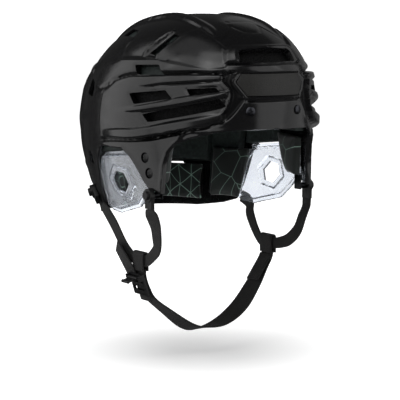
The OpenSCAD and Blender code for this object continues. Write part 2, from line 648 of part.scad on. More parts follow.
front_left = [
    [strap_x, hanger_y, tab_end, web_w * 0.66, 0],
    [strap_x - 0.3, hanger_y, tab_end - 3, web_w * 0.66, 0],
    [strap_x - 1.5, hanger_y - 0.8, tab_end - 8, web_w * 0.66, 0],
    [strap_x - 6, hanger_y - 1, tab_end - 17, web_w * 0.65, 0],
    [loop_x + 6, hanger_y + 2, 17.5 - loop_drop_l, web_w * 0.65, 0],
    [loop_x + 3.4, hanger_y + 13, 7 - loop_drop_l, web_w * 0.62, 0],
    [loop_x + 1.6, -loop_y - 21, 2.8 - loop_drop_l, web_w * 0.58, 0],
    [loop_x + 0.4, -loop_y - 12, 1.2 - loop_drop_l, web_neck, 0]];
function side_route(front, drop, back) = concat(front, [
    [loop_x, -loop_y, 0.3 - drop, web_neck, 0],
    [loop_x + 0.3, -loop_y + 12, 1.1 - drop, web_neck, 0],
    [loop_x + 1.5, mix(-loop_y + 12, back, 0.4), mix(-drop, -rear_drop, 0.27), web_w * 0.6, 0],
    [loop_x + 3, mix(-loop_y + 12, back, 0.8), mix(-drop, -rear_drop, 0.68), web_w * 0.7, -4],
    [mix(loop_x + 3, rear_end[0], 0.7), back, -rear_drop - 2, web_w * 0.7, -10],
    [rear_end[0], rear_end[1], rear_end[2], web_w * 0.6, atan2(facing(rear_snap[0],
        rear_snap[1])[2], facing(rear_snap[0], rear_snap[1])[0])]]);
module side_strap_right() {
    color("#2a2a2c") side(-1) webbing(bend(side_route(front_right, loop_drop_r, strap_back_r), 2));
}
module side_strap_left() {
    color("#2a2a2c") side(1) webbing(bend(side_route(front_left, loop_drop_l, strap_back_l), 2));
}

// Sewn loops that the side straps run through
loop_in = web_neck + 5.6;
module strap_loop(drop) {
    color("#232325")
    translate([loop_x, -loop_y - web_w / 2, -drop]) rotate([-90, 0, 0])
        linear_extrude(web_w) difference() {
            square([web_t * 4.4, loop_in + 2 * web_t], center = true);
            square([web_t * 2.4, loop_in], center = true);
        }
}
module strap_loop_right() { side(-1) strap_loop(loop_drop_r); }
module strap_loop_left() { side(1) strap_loop(loop_drop_l); }

// The chin strap, in the upright plane through both loops
half_loop = loop_in / 2 + web_t;
chin_route = [
    [-loop_x, -loop_drop_r - half_loop - 0.3, 180, 0],
    [-loop_x + 0.5, -loop_drop_r - half_loop - 5, 184, 0],
    [-loop_x + 4.5, -loop_drop_r - half_loop - 16, 200, 0],
    [-65, -172, 214, -4],
    [-48, 20 - chin_drop, 228, -12],
    [-26, 4 - chin_drop, 250, -21],
    [-8, -chin_drop, 268, -14],
    [18, 4 - chin_drop, 290, 9],
    [42, 18 - chin_drop, 306, 20],
    [60, 38 - chin_drop, 322, 13],
    [71, -loop_drop_l - half_loop - 14, 342, 2],
    [loop_x - 0.5, -loop_drop_l - half_loop - 5, 356, 0],
    [loop_x, -loop_drop_l - half_loop - 0.3, 360, 0]];
module chin_strap() {
    color("#2a2a2c")
    webbing(bend([for (q = chin_route) [q[0], -loop_y, q[1], web_w, q[2], q[3]]], 2));
}

// The adjuster on the wearer's right: a frame with a fixed bar, and its thumb lever
buckle_at = [-loop_x + 3.6, -loop_y, -loop_drop_r - half_loop - 11];
buckle_lean = 17;
module at_buckle() {
    translate(buckle_at) rotate([0, -buckle_lean, 0]) children();
}
frame_wall = 2.4;
buckle_len = 22;
pin_r = 1.2;
pin_gap = 0.05;
pin_at = [-2 * web_t - frame_wall - 4.6, 0, 8];
lever_len = 9;
module buckle_frame() {
    color("#18181a")
    at_buckle() translate([-2 * web_t - frame_wall - 1.2, 0, 0]) difference() {
        translate([0, -web_w / 2 - frame_wall, -buckle_len / 2])
            cube([frame_wall, web_w + 2 * frame_wall, buckle_len]);
        for (z = [-6, 2]) translate([-1, -web_w / 2, z]) cube([frame_wall + 2, web_w, 4]);
    }
    color("#18181a")
    at_buckle() for (y = [-1, 1]) translate([pin_at[0], y * (web_w / 2 + frame_wall / 2), pin_at[2]])
        rotate([90, 0, 0]) difference() {
            translate([-1, -3, -frame_wall / 2]) cube([4.6, 6, frame_wall]);
            translate([0, 0, -frame_wall]) cylinder(r = pin_r + pin_gap, h = 2 * frame_wall, $fn = 24);
        }
}
module buckle_lever() {
    color("#1f1f21")
    at_buckle() translate(pin_at) rotate([90, 0, 0]) {
        translate([0, 0, -web_w / 2 - frame_wall]) cylinder(r = pin_r, h = web_w + 2 * frame_wall, $fn = 24);
        translate([0, 0, -web_w / 2 + 1]) cylinder(r = 2.1, h = web_w - 2, $fn = 24);
        translate([-lever_len, -1, -6]) cube([lever_len, 2, 12]);
        translate([-lever_len, 0, -6]) cylinder(r = 1.6, h = 12, $fn = 24);
    }
}
module buckle_bar() {
    color("#2a2a2c")
    at_buckle() translate([-web_t - 1, 0, -buckle_len / 2]) webbing([[0, 0, -8, web_w, 0],
        [-0.3, 0, 6, web_w, 0], [-0.3, 0, buckle_len - 4, web_w, 0]]);
}
tail_route = [[-loop_x - 7.2, -loop_y + web_w / 2 + frame_wall + 0.4, -146.5, 13, 180],
    [-loop_x - 7, -7.4, -141.5, 18, 180], [-loop_x - 6.3, 3.4, -132.3, 19, 180],
    [-loop_x - 6, 12.4, -122.3, 19, 180]];
module strap_tail() {
    color("#2a2a2c") webbing(bend(tail_route, 2), web_t);
}

// Fit dial on the nape: a housing with a bore, the knob with its spindle, and the
// cradle that the spindle's thread moves
module dial_housing() {
    color("#202123")
    translate([0, seat_y, -dial_drop]) difference() {
        union() {
            rotate([-90, 0, 0]) cylinder(r = dial_r + 0.8, h = flange_t, $fn = 64);
            rotate([90, 0, 0]) cylinder(r = hub_r, h = hub_len, $fn = 48);
        }
        rotate([90, 0, 0]) translate([0, 0, -flange_t - 1])
            cylinder(r = spindle_r + spindle_gap, h = hub_len + flange_t + 2, $fn = 48);
    }
}
knurls = 24;
module fit_dial() {
    color("#26272a")
    translate([0, seat_y + flange_t + 0.3, -dial_drop]) rotate([-90, 0, 0]) {
        difference() {
            cylinder(r = dial_r, h = dial_h, $fn = 64);
            for (i = [0:knurls - 1]) rotate([0, 0, i * 360 / knurls])
                translate([dial_r + 0.5, 0, 1.5]) cylinder(r = 1.2, h = dial_h, $fn = 16);
            translate([0, 0, dial_h - 2]) cylinder(r = dial_r - 5, h = 3, $fn = 48);
        }
        translate([-1.6, -dial_r + 5.5, dial_h - 2.1]) cube([3.2, 2 * dial_r - 11, 2.1]);
        translate([0, 0, -hub_len - flange_t - boss_len])
            cylinder(r = spindle_r, h = hub_len + flange_t + boss_len + 0.1, $fn = 48);
    }
}
module nape_cradle() {
    color("#202123")
    difference() {
        union() {
            slab([[nape_from + 1, -nape_drop + 7], [359 - nape_from, -nape_drop + 7],
                [359 - nape_from, nape_top - 2], [nape_from + 1, nape_top - 2]], 12, 3, -cradle_in,
                -cradle_in - cradle_t);
            translate([0, cradle_y, -dial_drop]) rotate([90, 0, 0]) cylinder(r = hub_r, h = boss_len, $fn = 48);
        }
        translate([0, cradle_y + 1, -dial_drop]) rotate([90, 0, 0])
            cylinder(r = spindle_r + spindle_gap, h = boss_len + 2, $fn = 48);
    }
}
module nape_pad() {
    color("#33423f")
    difference() {
        slab([[nape_from, -nape_drop + 1.5], [360 - nape_from, -nape_drop + 1.5], [360 - nape_from, nape_top],
            [nape_from, nape_top]], 16, 8, -cradle_in - cradle_t - lie_gap,
            -cradle_in - cradle_t - lie_gap - pad_t, 0.45, 0.03);
        translate([0, cradle_y + 1, -dial_drop]) rotate([90, 0, 0])
            cylinder(r = hub_r + lie_gap, h = boss_len + 2.5, $fn = 48);
    }
}

shell();
badge_plate();
vent_screen_right();
vent_screen_left();
front_screen();
liner_front();
liner_crown();
liner_side_right();
liner_side_left();
liner_rear();
forehead_pad();
temple_pad_right();
temple_pad_left();
side_pad_right();
side_pad_left();
rear_pad_right();
rear_pad_left();
crown_pad();
ear_guard_right();
ear_guard_left();
brow_screws();
brow_nuts();
lobe_screws_right();
lobe_screws_left();
lobe_nuts();
front_stud_right();
front_stud_left();
rear_stud_right();
rear_stud_left();
side_strap_right();
side_strap_left();
dial_housing();
fit_dial();
nape_cradle();
nape_pad();
chin_strap();
strap_loop_right();
strap_loop_left();
buckle_frame();
buckle_bar();
buckle_lever();
strap_tail();
front_tab_right();
front_tab_left();
rear_tab_right();
rear_tab_left();
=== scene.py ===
import bpy, bmesh, math
import numpy as np
from mathutils import Matrix, Vector


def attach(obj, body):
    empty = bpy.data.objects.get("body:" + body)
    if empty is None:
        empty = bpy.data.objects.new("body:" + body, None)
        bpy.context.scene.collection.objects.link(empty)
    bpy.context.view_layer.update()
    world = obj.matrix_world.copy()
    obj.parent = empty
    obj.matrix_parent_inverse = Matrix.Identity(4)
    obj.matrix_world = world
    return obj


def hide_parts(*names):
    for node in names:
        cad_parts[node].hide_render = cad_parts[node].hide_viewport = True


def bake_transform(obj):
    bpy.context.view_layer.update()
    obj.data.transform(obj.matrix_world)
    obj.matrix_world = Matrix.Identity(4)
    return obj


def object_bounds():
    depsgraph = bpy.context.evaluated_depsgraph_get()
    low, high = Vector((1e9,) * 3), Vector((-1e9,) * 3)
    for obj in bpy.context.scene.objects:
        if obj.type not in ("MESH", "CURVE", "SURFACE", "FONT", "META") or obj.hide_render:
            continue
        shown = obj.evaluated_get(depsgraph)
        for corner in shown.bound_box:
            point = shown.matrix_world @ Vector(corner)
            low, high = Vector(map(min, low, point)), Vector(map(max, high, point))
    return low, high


# Ice hockey helmet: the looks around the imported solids. Sizes in the tables are millimetres,
# angles are degrees round the shell from its front, heights are over the brow edge.
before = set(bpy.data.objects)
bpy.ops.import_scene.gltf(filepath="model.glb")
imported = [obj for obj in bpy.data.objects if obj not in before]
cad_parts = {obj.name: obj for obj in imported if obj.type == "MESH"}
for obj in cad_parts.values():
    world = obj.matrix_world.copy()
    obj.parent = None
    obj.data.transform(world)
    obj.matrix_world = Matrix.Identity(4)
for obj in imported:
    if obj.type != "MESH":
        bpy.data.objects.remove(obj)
cadBox = [list(corner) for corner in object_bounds()]
mm = 0.001
print("frame loaded", len(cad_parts), "nodes")

# The shell's form, as in the solids: an oval in plan that closes to a leaning dome.
# girthStep is the length round the shell that one degree takes up.
form = {"halfWidth": 98.5, "frontLen": 145, "backLen": 140, "crownHeight": 106, "crownLean": 20,
        "planRound": 2.06, "domeRound": 2.38, "jawTaper": 0.19, "wall": 3.0, "templeFlare": 0.03,
        "flareFrom": 50, "flareSpan": 38, "girthStep": 1.9}
# The lower rim as (angle, height), the same on both sides
rimLine = np.array([
    (0, 0), (24, -1), (34, -4), (44, -9), (51, -15), (54, -22), (55.8, -34), (56.5, -48),
    (57, -62), (63.8, -58), (66.4, -51.5), (69.5, -42), (74, -30), (79, -22), (86, -22),
    (93, -21), (98, -26), (101.5, -38), (104, -62), (106, -80), (109, -88), (118, -93),
    (135, -97), (180, -97)], float)


def smooth(t):
    t = np.clip(t, 0, 1)
    return t * t * (3 - 2 * t)


def girth(angle, z):
    # Share of the full outline left at a height: drawn in behind the ears, flared at the temples
    risen = np.clip(z, 0, form["crownHeight"]) / form["crownHeight"]
    up = np.clip(1 - risen ** form["domeRound"], 0, 1)
    turned = np.abs((np.asarray(angle, float) + 180) % 360 - 180)
    drawn = smooth((turned - form["flareFrom"]) / form["flareSpan"])
    drop = np.clip(-np.asarray(z, float), 0, 200) / 100
    down = 1 - form["jawTaper"] * drop ** 1.9 * drawn + form["templeFlare"] * (1 - drawn) * drop
    return np.where(z > 0, up ** (1 / form["domeRound"]), down)


def skin(angle, z):
    # Points on the outside of the shell
    angle, z = np.broadcast_arrays(np.asarray(angle, float), np.asarray(z, float))
    sine, cosine = np.sin(np.radians(angle)), np.cos(np.radians(angle))
    across = np.sign(sine) * np.abs(sine) ** (2 / form["planRound"])
    along = -np.sign(cosine) * np.abs(cosine) ** (2 / form["planRound"])
    k = girth(angle, z)
    reach = np.where(along < 0, form["frontLen"], form["backLen"])
    lean = form["crownLean"] * (np.clip(z, 0, 200) / form["crownHeight"]) ** 1.3
    return np.stack([k * form["halfWidth"] * across, k * reach * along - lean, z], -1)


def facing(angle, z):
    # Outward directions of the skin
    angle, z = np.broadcast_arrays(np.asarray(angle, float), np.asarray(z, float))
    z = np.minimum(z, form["crownHeight"] - 0.5)
    side = skin(angle + 0.4, z) - skin(angle - 0.4, z)
    rise = skin(angle, z + 0.4) - skin(angle, z - 0.4)
    n = np.cross(side, rise)
    return n / np.linalg.norm(n, axis=-1, keepdims=True)


def over(angle, z, d):
    return skin(angle, z) + np.asarray(d, float)[..., None] * facing(angle, z)


def bend(stations, steps):
    # A smooth curve through the stations, with so many steps for each stretch
    p = np.array(stations, float)
    p = np.vstack([p[:1], p, p[-1:]])
    out = []
    for i in range(len(p) - 3):
        a, b, c, d = p[i:i + 4]
        for j in range(steps):
            t = j / steps
            out.append(0.5 * (2 * b + (c - a) * t + (2 * a - 5 * b + 4 * c - d) * t * t
                              + (3 * b - a - 3 * c + d) * t ** 3))
    out.append(p[-1])
    return np.array(out)


def toLinear(hexColour, shade=1.0):
    # An sRGB hex value as linear light, times shade
    parts = [int(hexColour[i:i + 2], 16) / 255 for i in (1, 3, 5)]
    linear = [v / 12.92 if v <= 0.04045 else ((v + 0.055) / 1.055) ** 2.4 for v in parts]
    return [v * shade for v in linear] + [1.0]


def setSockets(tree, node, links=(), **values):
    # From_Min means the socket From Min, i1 the second socket; links are (socket, node, output)
    for key, value in values.items():
        numbered = key[0] == "i" and key[1:].isdigit()
        node.inputs[int(key[1:]) if numbered else key.replace("_", " ")].default_value = value
    for socket, other, output in links:
        tree.links.new(other.outputs[output], node.inputs[socket])


def addNode(tree, kind, settings=(), links=(), ramp=(), **values):
    # settings are the node's own options, ramp the end colours of a colour ramp
    node = tree.nodes.new(kind)
    for key, value in dict(settings).items():
        setattr(node, key, value)
    for end, colour in enumerate(ramp):
        linear = toLinear(colour) if isinstance(colour, str) else colour
        node.color_ramp.elements[end].color = linear
    setSockets(tree, node, links, **values)
    return node


def newMaterial(name):
    material = bpy.data.materials.new(name)
    material.use_nodes = True
    tree = material.node_tree
    return material, tree, tree.nodes["Principled BSDF"]


# Injection moulded ABS, polished: near black with a deep, slightly uneven gloss. The matte zone is
# the fine grained field beside the front plates. Grooves and the slots' edges carry painted shade.
def mouldedShell():
    material, tree, shader = newMaterial("polishedAbs")
    place = addNode(tree, "ShaderNodeTexCoord")
    here = [("Vector", place, "Object")]
    cloud = addNode(tree, "ShaderNodeTexNoise", links=here, Scale=14.0, Detail=3.0)
    tint = addNode(tree, "ShaderNodeValToRGB", links=[("Fac", cloud, "Fac")],
                   ramp=("#0a0a0b", "#0f0f10"))
    matte = addNode(tree, "ShaderNodeAttribute", {"attribute_name": "matteZone"})
    # Painted shade: the grooves and the slots' edges are darkened towards #050505 by this mask
    paintedShade = addNode(tree, "ShaderNodeAttribute", {"attribute_name": "paintedShade"})
    dark = addNode(tree, "ShaderNodeMix", {"data_type": "RGBA"},
                   [("Factor", paintedShade, "Fac"), ("A", tint, "Color")], B=toLinear("#050505"))
    # Handling scuffs: faint, a few millimetres across
    scuff = addNode(tree, "ShaderNodeTexNoise", links=here, Scale=160.0, Detail=4.0)
    gloss = addNode(tree, "ShaderNodeMapRange", links=[("Value", scuff, "Fac")],
                    From_Min=0.35, From_Max=0.75, To_Min=0.16, To_Max=0.24)
    rough = addNode(tree, "ShaderNodeMix", {"data_type": "FLOAT"},
                    [("Factor", matte, "Fac"), ("A", gloss, "Result")], B=0.34)
    shine = addNode(tree, "ShaderNodeMapRange", links=[("Value", matte, "Fac")],
                    To_Min=0.5, To_Max=0.12)
    # Orange peel of the moulding, 1.5 mm, and the grain of the matte zone, 0.7 mm
    peel = addNode(tree, "ShaderNodeTexNoise", links=here, Scale=650.0, Detail=1.0)
    grain = addNode(tree, "ShaderNodeTexNoise", links=here, Scale=1400.0, Detail=2.0)
    damped = addNode(tree, "ShaderNodeMath", {"operation": "MULTIPLY"}, [(0, peel, "Fac")], i1=0.08)
    mixed = addNode(tree, "ShaderNodeMix", {"data_type": "FLOAT"},
                    [("Factor", matte, "Fac"), ("A", damped, 0), ("B", grain, "Fac")])
    bump = addNode(tree, "ShaderNodeBump", links=[("Height", mixed, "Result")],
                   Strength=0.25, Distance=0.0004)
    setSockets(tree, shader, [("Base Color", dark, "Result"), ("Roughness", rough, "Result"),
                              ("Specular IOR Level", shine, "Result"), ("Normal", bump, "Normal")],
               IOR=1.53)
    return material


def grained(name, colours, tone, relief, bump, invert=False, **finish):
    # A plain material whose tone and relief each follow a pattern, often the same one.
    # Patterns are (texture, output, scale, detail), bump is (strength, depth in metres).
    material, tree, shader = newMaterial(name)
    place = addNode(tree, "ShaderNodeTexCoord")
    made = {pattern: addNode(tree, pattern[0], links=[("Vector", place, "Object")],
                             Scale=pattern[2], Detail=pattern[3])
            for pattern in dict.fromkeys((tone, relief))}
    tint = addNode(tree, "ShaderNodeValToRGB", links=[("Fac", made[tone], tone[1])], ramp=colours)
    raised = addNode(tree, "ShaderNodeBump", {"invert": invert},
                     [("Height", made[relief], relief[1])], Strength=bump[0], Distance=bump[1])
    setSockets(tree, shader, [("Base Color", tint, "Color"), ("Normal", raised, "Normal")],
               **finish)
    return material


# Spark-eroded ABS for the plates: dark grey, a fine even grain that scatters the light
def grainedPlate():
    grain = ("ShaderNodeTexVoronoi", "Distance", 900.0, 0.0)
    return grained("grainedAbs", ("#121211", "#201f1d"), grain, grain, (0.35, 0.0003),
                   Roughness=0.48, IOR=1.53, Specular_IOR_Level=0.38)


# Glass filled nylon, moulded: flat black with a faint grain and a little wear
def mouldedNylon(name, hexColour, roughness):
    wear = ("ShaderNodeTexNoise", "Fac", 90.0, 2.0)
    grain = ("ShaderNodeTexNoise", "Fac", 900.0, 3.0)
    return grained(name, (toLinear(hexColour, 0.75), toLinear(hexColour, 1.5)), wear, grain,
                   (0.2, 0.0003), Roughness=roughness, IOR=1.53, Specular_IOR_Level=0.32)


# Clear polycarbonate, moulded thin: a little milky against a dark ground, with a faint ripple
def clearPolycarbonate():
    haze = ("ShaderNodeTexNoise", "Fac", 45.0, 2.0)
    return grained("clearPolycarbonate", ("#dfe5ef", "#f2f5fa"), haze, haze, (0.1, 0.0006),
                   Roughness=0.07, IOR=1.58, Transmission_Weight=0.9)


# Bead foam of the liner: dark green grey beads fused together, 3 mm across
def beadFoam():
    beads = ("ShaderNodeTexVoronoi", "Distance", 330.0, 0.0)
    return grained("beadFoam", ("#26302e", "#161c1b"), beads, beads, (0.4, 0.0008), invert=True,
                   Roughness=0.7, IOR=1.45)


# Plated or blackened steel of the studs, nuts and brow screws, with fine streaks
def platedSteel(name, hexColour, roughness):
    streak = ("ShaderNodeTexNoise", "Fac", 400.0, 3.0)
    return grained(name, (toLinear(hexColour, 0.7), toLinear(hexColour)), streak, streak,
                   (0.1, 0.0002), Metallic=1.0, Roughness=roughness)


# Woven black mesh behind the vents, its threads drawn about 2.4 mm apart so that they show. The
# gaps between the threads are painted near black, as painted shade of the dark inside seen through
# them.
def ventMesh():
    material, tree, shader = newMaterial("wovenVentMesh")
    place = addNode(tree, "ShaderNodeTexCoord")
    cells = addNode(tree, "ShaderNodeTexVoronoi", {"feature": "DISTANCE_TO_EDGE"},
                    [("Vector", place, "Object")], Scale=420.0)
    thread = addNode(tree, "ShaderNodeMapRange", links=[("Value", cells, "Distance")],
                     From_Min=0.08, From_Max=0.25)
    # Painted shade: the threads are #0e0e0f and the gaps between them near black
    tint = addNode(tree, "ShaderNodeValToRGB", links=[("Fac", thread, "Result")],
                   ramp=("#0e0e0f", "#020202"))
    bump = addNode(tree, "ShaderNodeBump", {"invert": True}, [("Height", thread, "Result")],
                   Strength=0.6, Distance=0.0008)
    setSockets(tree, shader, [("Base Color", tint, "Color"), ("Normal", bump, "Normal")],
               Roughness=0.6, IOR=1.5, Specular_IOR_Level=0.12)
    return material


# Soft comfort foam with a smooth film face: black green, and a thin pale line net. The net
# of straight threes is for the nape, the cracked one for the other pads. spacing and line
# are the net's spacing and the width of its lines in metres.
def filmFoam(name, straight, spacing, line):
    material, tree, shader = newMaterial(name)
    place = addNode(tree, "ShaderNodeUVMap", {"uv_map": "faceMap"})
    here = [("Vector", place, "UV")]
    if straight:
        sway = addNode(tree, "ShaderNodeTexNoise", links=here, Scale=22.0, Detail=0.0)
        offset = addNode(tree, "ShaderNodeVectorMath", {"operation": "SCALE"},
                         [(0, sway, "Color")], Scale=0.022)
        moved = addNode(tree, "ShaderNodeVectorMath", {"operation": "ADD"},
                        [(0, place, "UV"), (1, offset, 0)])
        nearest = None
        for turn in (4, 64, 124):
            a = math.radians(turn)
            across = (math.cos(a) / spacing, math.sin(a) / spacing, 0)
            reach = addNode(tree, "ShaderNodeVectorMath", {"operation": "DOT_PRODUCT"},
                            [(0, moved, 0)], i1=across)
            wave = addNode(tree, "ShaderNodeMath", {"operation": "PINGPONG"},
                           [(0, reach, "Value")], i1=0.5)
            nearest = wave if nearest is None else addNode(
                tree, "ShaderNodeMath", {"operation": "MINIMUM"}, [(0, nearest, 0), (1, wave, 0)])
    else:
        nearest = addNode(tree, "ShaderNodeTexVoronoi",
                          {"feature": "DISTANCE_TO_EDGE", "voronoi_dimensions": "2D"},
                          here, Scale=1 / spacing)
    half = line / spacing / 2
    mask = addNode(tree, "ShaderNodeMapRange", links=[("Value", nearest, 0)],
                   From_Min=half * 0.6, From_Max=half * 1.5, To_Min=1, To_Max=0)
    patch = addNode(tree, "ShaderNodeTexNoise", links=here, Scale=18.0, Detail=2.0)
    ground = addNode(tree, "ShaderNodeValToRGB", links=[("Fac", patch, "Fac")],
                     ramp=("#0a0f0e", "#18221f"))
    for end, at in enumerate((0.35, 0.75)):
        ground.color_ramp.elements[end].position = at
    fade = addNode(tree, "ShaderNodeMath", {"operation": "MULTIPLY"},
                   [(0, mask, "Result")], i1=0.72)
    tint = addNode(tree, "ShaderNodeMix", {"data_type": "RGBA"},
                   [("Factor", fade, 0), ("A", ground, "Color")], B=toLinear("#7f9c8f"))
    grain = addNode(tree, "ShaderNodeTexNoise", links=here, Scale=700.0, Detail=2.0)
    raised = addNode(tree, "ShaderNodeMath", {"operation": "MULTIPLY_ADD"},
                     [(0, mask, "Result"), (2, grain, "Fac")], i1=1.5)
    bump = addNode(tree, "ShaderNodeBump", links=[("Height", raised, 0)],
                   Strength=0.3, Distance=0.0004)
    setSockets(tree, shader, [("Base Color", tint, "Result"), ("Normal", bump, "Normal")],
               Roughness=0.5, IOR=1.45, Sheen_Weight=0.15)
    return material


# Polyester webbing, plain woven: charcoal, its threads drawn 1.1 and 1.5 mm apart to show
def polyesterWebbing():
    material, tree, shader = newMaterial("polyesterWebbing")
    place = addNode(tree, "ShaderNodeUVMap", {"uv_map": "faceMap"})
    parts = addNode(tree, "ShaderNodeSeparateXYZ", links=[("Vector", place, "UV")])
    waves = []
    for output, pitch in (("X", 0.0011), ("Y", 0.0015)):
        turns = addNode(tree, "ShaderNodeMath", {"operation": "MULTIPLY"}, [(0, parts, output)],
                        i1=2 * math.pi / pitch)
        waves.append(addNode(tree, "ShaderNodeMath", {"operation": "SINE"}, [(0, turns, 0)]))
    weave = addNode(tree, "ShaderNodeMath", {"operation": "MULTIPLY"},
                    [(0, waves[0], 0), (1, waves[1], 0)])
    level = addNode(tree, "ShaderNodeMapRange", links=[("Value", weave, 0)], From_Min=-1)
    tint = addNode(tree, "ShaderNodeValToRGB", links=[("Fac", level, "Result")],
                   ramp=("#0d0d0d", "#222121"))
    bump = addNode(tree, "ShaderNodeBump", links=[("Height", level, "Result")],
                   Strength=0.5, Distance=0.0004)
    setSockets(tree, shader, [("Base Color", tint, "Color"), ("Normal", bump, "Normal")],
               Roughness=0.66, IOR=1.5, Specular_IOR_Level=0.2, Sheen_Weight=0.06)
    return material


finishes = {"shell": mouldedShell(), "plate": grainedPlate(), "screen": ventMesh(),
            "guard": clearPolycarbonate(), "webbing": polyesterWebbing(), "foam": beadFoam(),
            "pad": filmFoam("filmFoam", False, 0.024, 0.0005),
            "napePad": filmFoam("filmFoamNape", True, 0.0155, 0.00065),
            "hard_black": mouldedNylon("mouldedNylon", "#0d0d0e", 0.42),
            "lobe_screw": mouldedNylon("blackScrew", "#161617", 0.3),
            "stud": platedSteel("blackenedSteel", "#2a2b2d", 0.3),
            "screw": platedSteel("wornScrew", "#4a4b50", 0.34),
            "steel": platedSteel("platedSteel", "#c3c6ca", 0.25)}
print("materials ready", len(finishes))


def linked(name, data):
    thing = bpy.data.objects.new(name, data)
    bpy.context.scene.collection.objects.link(thing)
    return thing


def putPiece(name, mesh, body, slot, stands=(), finish=None, sharp=35):
    # A finished mesh becomes a piece that rides on a body and stands for CAD nodes
    mesh.name = name
    piece = linked(name, mesh)
    mesh.materials.clear()
    mesh.materials.append(finishes[finish or slot])
    mesh.shade_smooth()
    mesh.set_sharp_from_angle(angle=math.radians(sharp))
    if body:
        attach(piece, body)
    if stands:
        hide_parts(*stands)
    return piece


def withModifiers(mesh, *modifiers):
    # Applies modifiers given as (kind, settings) and returns the new mesh
    holder = linked("holder", mesh)
    for kind, settings in modifiers:
        modifier = holder.modifiers.new(kind, kind)
        for key, value in settings.items():
            setattr(modifier, key, value)
    bpy.context.view_layer.update()
    result = bpy.data.meshes.new_from_object(
        holder.evaluated_get(bpy.context.evaluated_depsgraph_get()))
    bpy.data.objects.remove(holder)
    return result


def roundEdges(width, segments=3, steepest=50):
    # The settings of a Bevel on the edges that turn more than an angle
    return "BEVEL", {"width": width * mm, "segments": segments, "limit_method": "ANGLE",
                     "angle_limit": math.radians(steepest), "profile": 0.5}


def meshOf(bm, points=None):
    # Writes a bmesh out as a mesh, with its points placed in millimetres
    mesh = bpy.data.meshes.new("work")
    bm.to_mesh(mesh)
    bm.free()
    if points is not None:
        placed = (np.asarray(points, float) * mm).astype(np.float32)
        mesh.vertices.foreach_set("co", placed.ravel())
    mesh.update()
    return mesh


def mended(mesh, merge=0, thin=0, gone=None, turned=None):
    # Drops the faces that gone picks, merges doubles and points the faces outwards. turned
    # says of the result whether its faces all point the wrong way.
    bm = bmesh.new()
    bm.from_mesh(mesh)
    if gone:
        bmesh.ops.delete(bm, geom=[f for f in bm.faces if gone(f)], context="FACES")
    if merge:
        bmesh.ops.remove_doubles(bm, verts=bm.verts[:], dist=merge * mm)
    if thin:
        bmesh.ops.dissolve_degenerate(bm, edges=bm.edges[:], dist=thin * mm)
    bmesh.ops.recalc_face_normals(bm, faces=bm.faces[:])
    if turned and turned(bm):
        bmesh.ops.reverse_faces(bm, faces=bm.faces[:])
    bm.to_mesh(mesh)
    openEdges = sum(not e.is_manifold for e in bm.edges)
    bm.free()
    return openEdges


def setFlow(mesh, faceMap):
    # The piece's own map: one (across, along) pair in metres for each point
    layer = mesh.uv_layers.new(name="faceMap")
    corner = np.zeros(len(mesh.loops), np.int32)
    mesh.loops.foreach_get("vertex_index", corner)
    layer.data.foreach_set("uv", (np.asarray(faceMap, float)[corner]).astype(np.float32).ravel())


def gridCoords(bm):
    return np.array([v.co[:] for v in bm.verts], float).reshape(-1, 3)


def slabGrid(across, along):
    # A closed slab of unit size, its outer face at height 0 and its inner face at 1
    bm = bmesh.new()
    bmesh.ops.create_grid(bm, x_segments=across, y_segments=along, size=0.5)
    grown = bmesh.ops.extrude_face_region(bm, geom=bm.faces[:])
    raised = [e for e in grown["geom"] if isinstance(e, bmesh.types.BMVert)]
    bmesh.ops.translate(bm, vec=(0, 0, 1), verts=raised)
    return bm


def wrapSlab(field, across, along, depth, bevelWidth=1.2, layers=1):
    # A closed slab wrapped on the skin. field(u, v) gives angle and height, depth(u, v, w)
    # the height over the skin, where w runs from the outer face 0 to the head side 1.
    bm = slabGrid(across, along)
    if layers > 1:
        upright = [e for e in bm.edges if abs(e.verts[0].co.z - e.verts[1].co.z) > 0.5]
        bmesh.ops.subdivide_edges(bm, edges=upright, cuts=layers - 1, use_grid_fill=True)
    co = gridCoords(bm)
    u, v, w = co[:, 0] + 0.5, co[:, 1] + 0.5, co[:, 2]
    angle, z = field(u, v)
    mesh = meshOf(bm, over(angle, z, depth(u, v, w)))
    setFlow(mesh, np.stack([angle * form["girthStep"], z], -1) * mm)
    mended(mesh)
    return withModifiers(mesh, roundEdges(bevelWidth)) if bevelWidth else mesh


def cornerField(corners, pull=0.0):
    # The four-cornered field of the solids, whose sides may draw in between the corners
    c = [np.array(p, float) for p in corners]
    middle = sum(c) / 4

    def field(u, v):
        u, v = u[:, None], v[:, None]
        p = (c[0] * (1 - u) + c[1] * u) * (1 - v) + (c[3] * (1 - u) + c[2] * u) * v
        k = 1 - pull * (np.sin(np.pi * u) * (2 * v - 1) ** 2 + np.sin(np.pi * v) * (2 * u - 1) ** 2)
        p = middle + (p - middle) * k
        return p[:, 0], p[:, 1]
    return field


def mirrored(corners):
    # The same field on the wearer's right, where angles are negative
    return [(-a, z) for a, z in (corners[1], corners[0], corners[3], corners[2])]


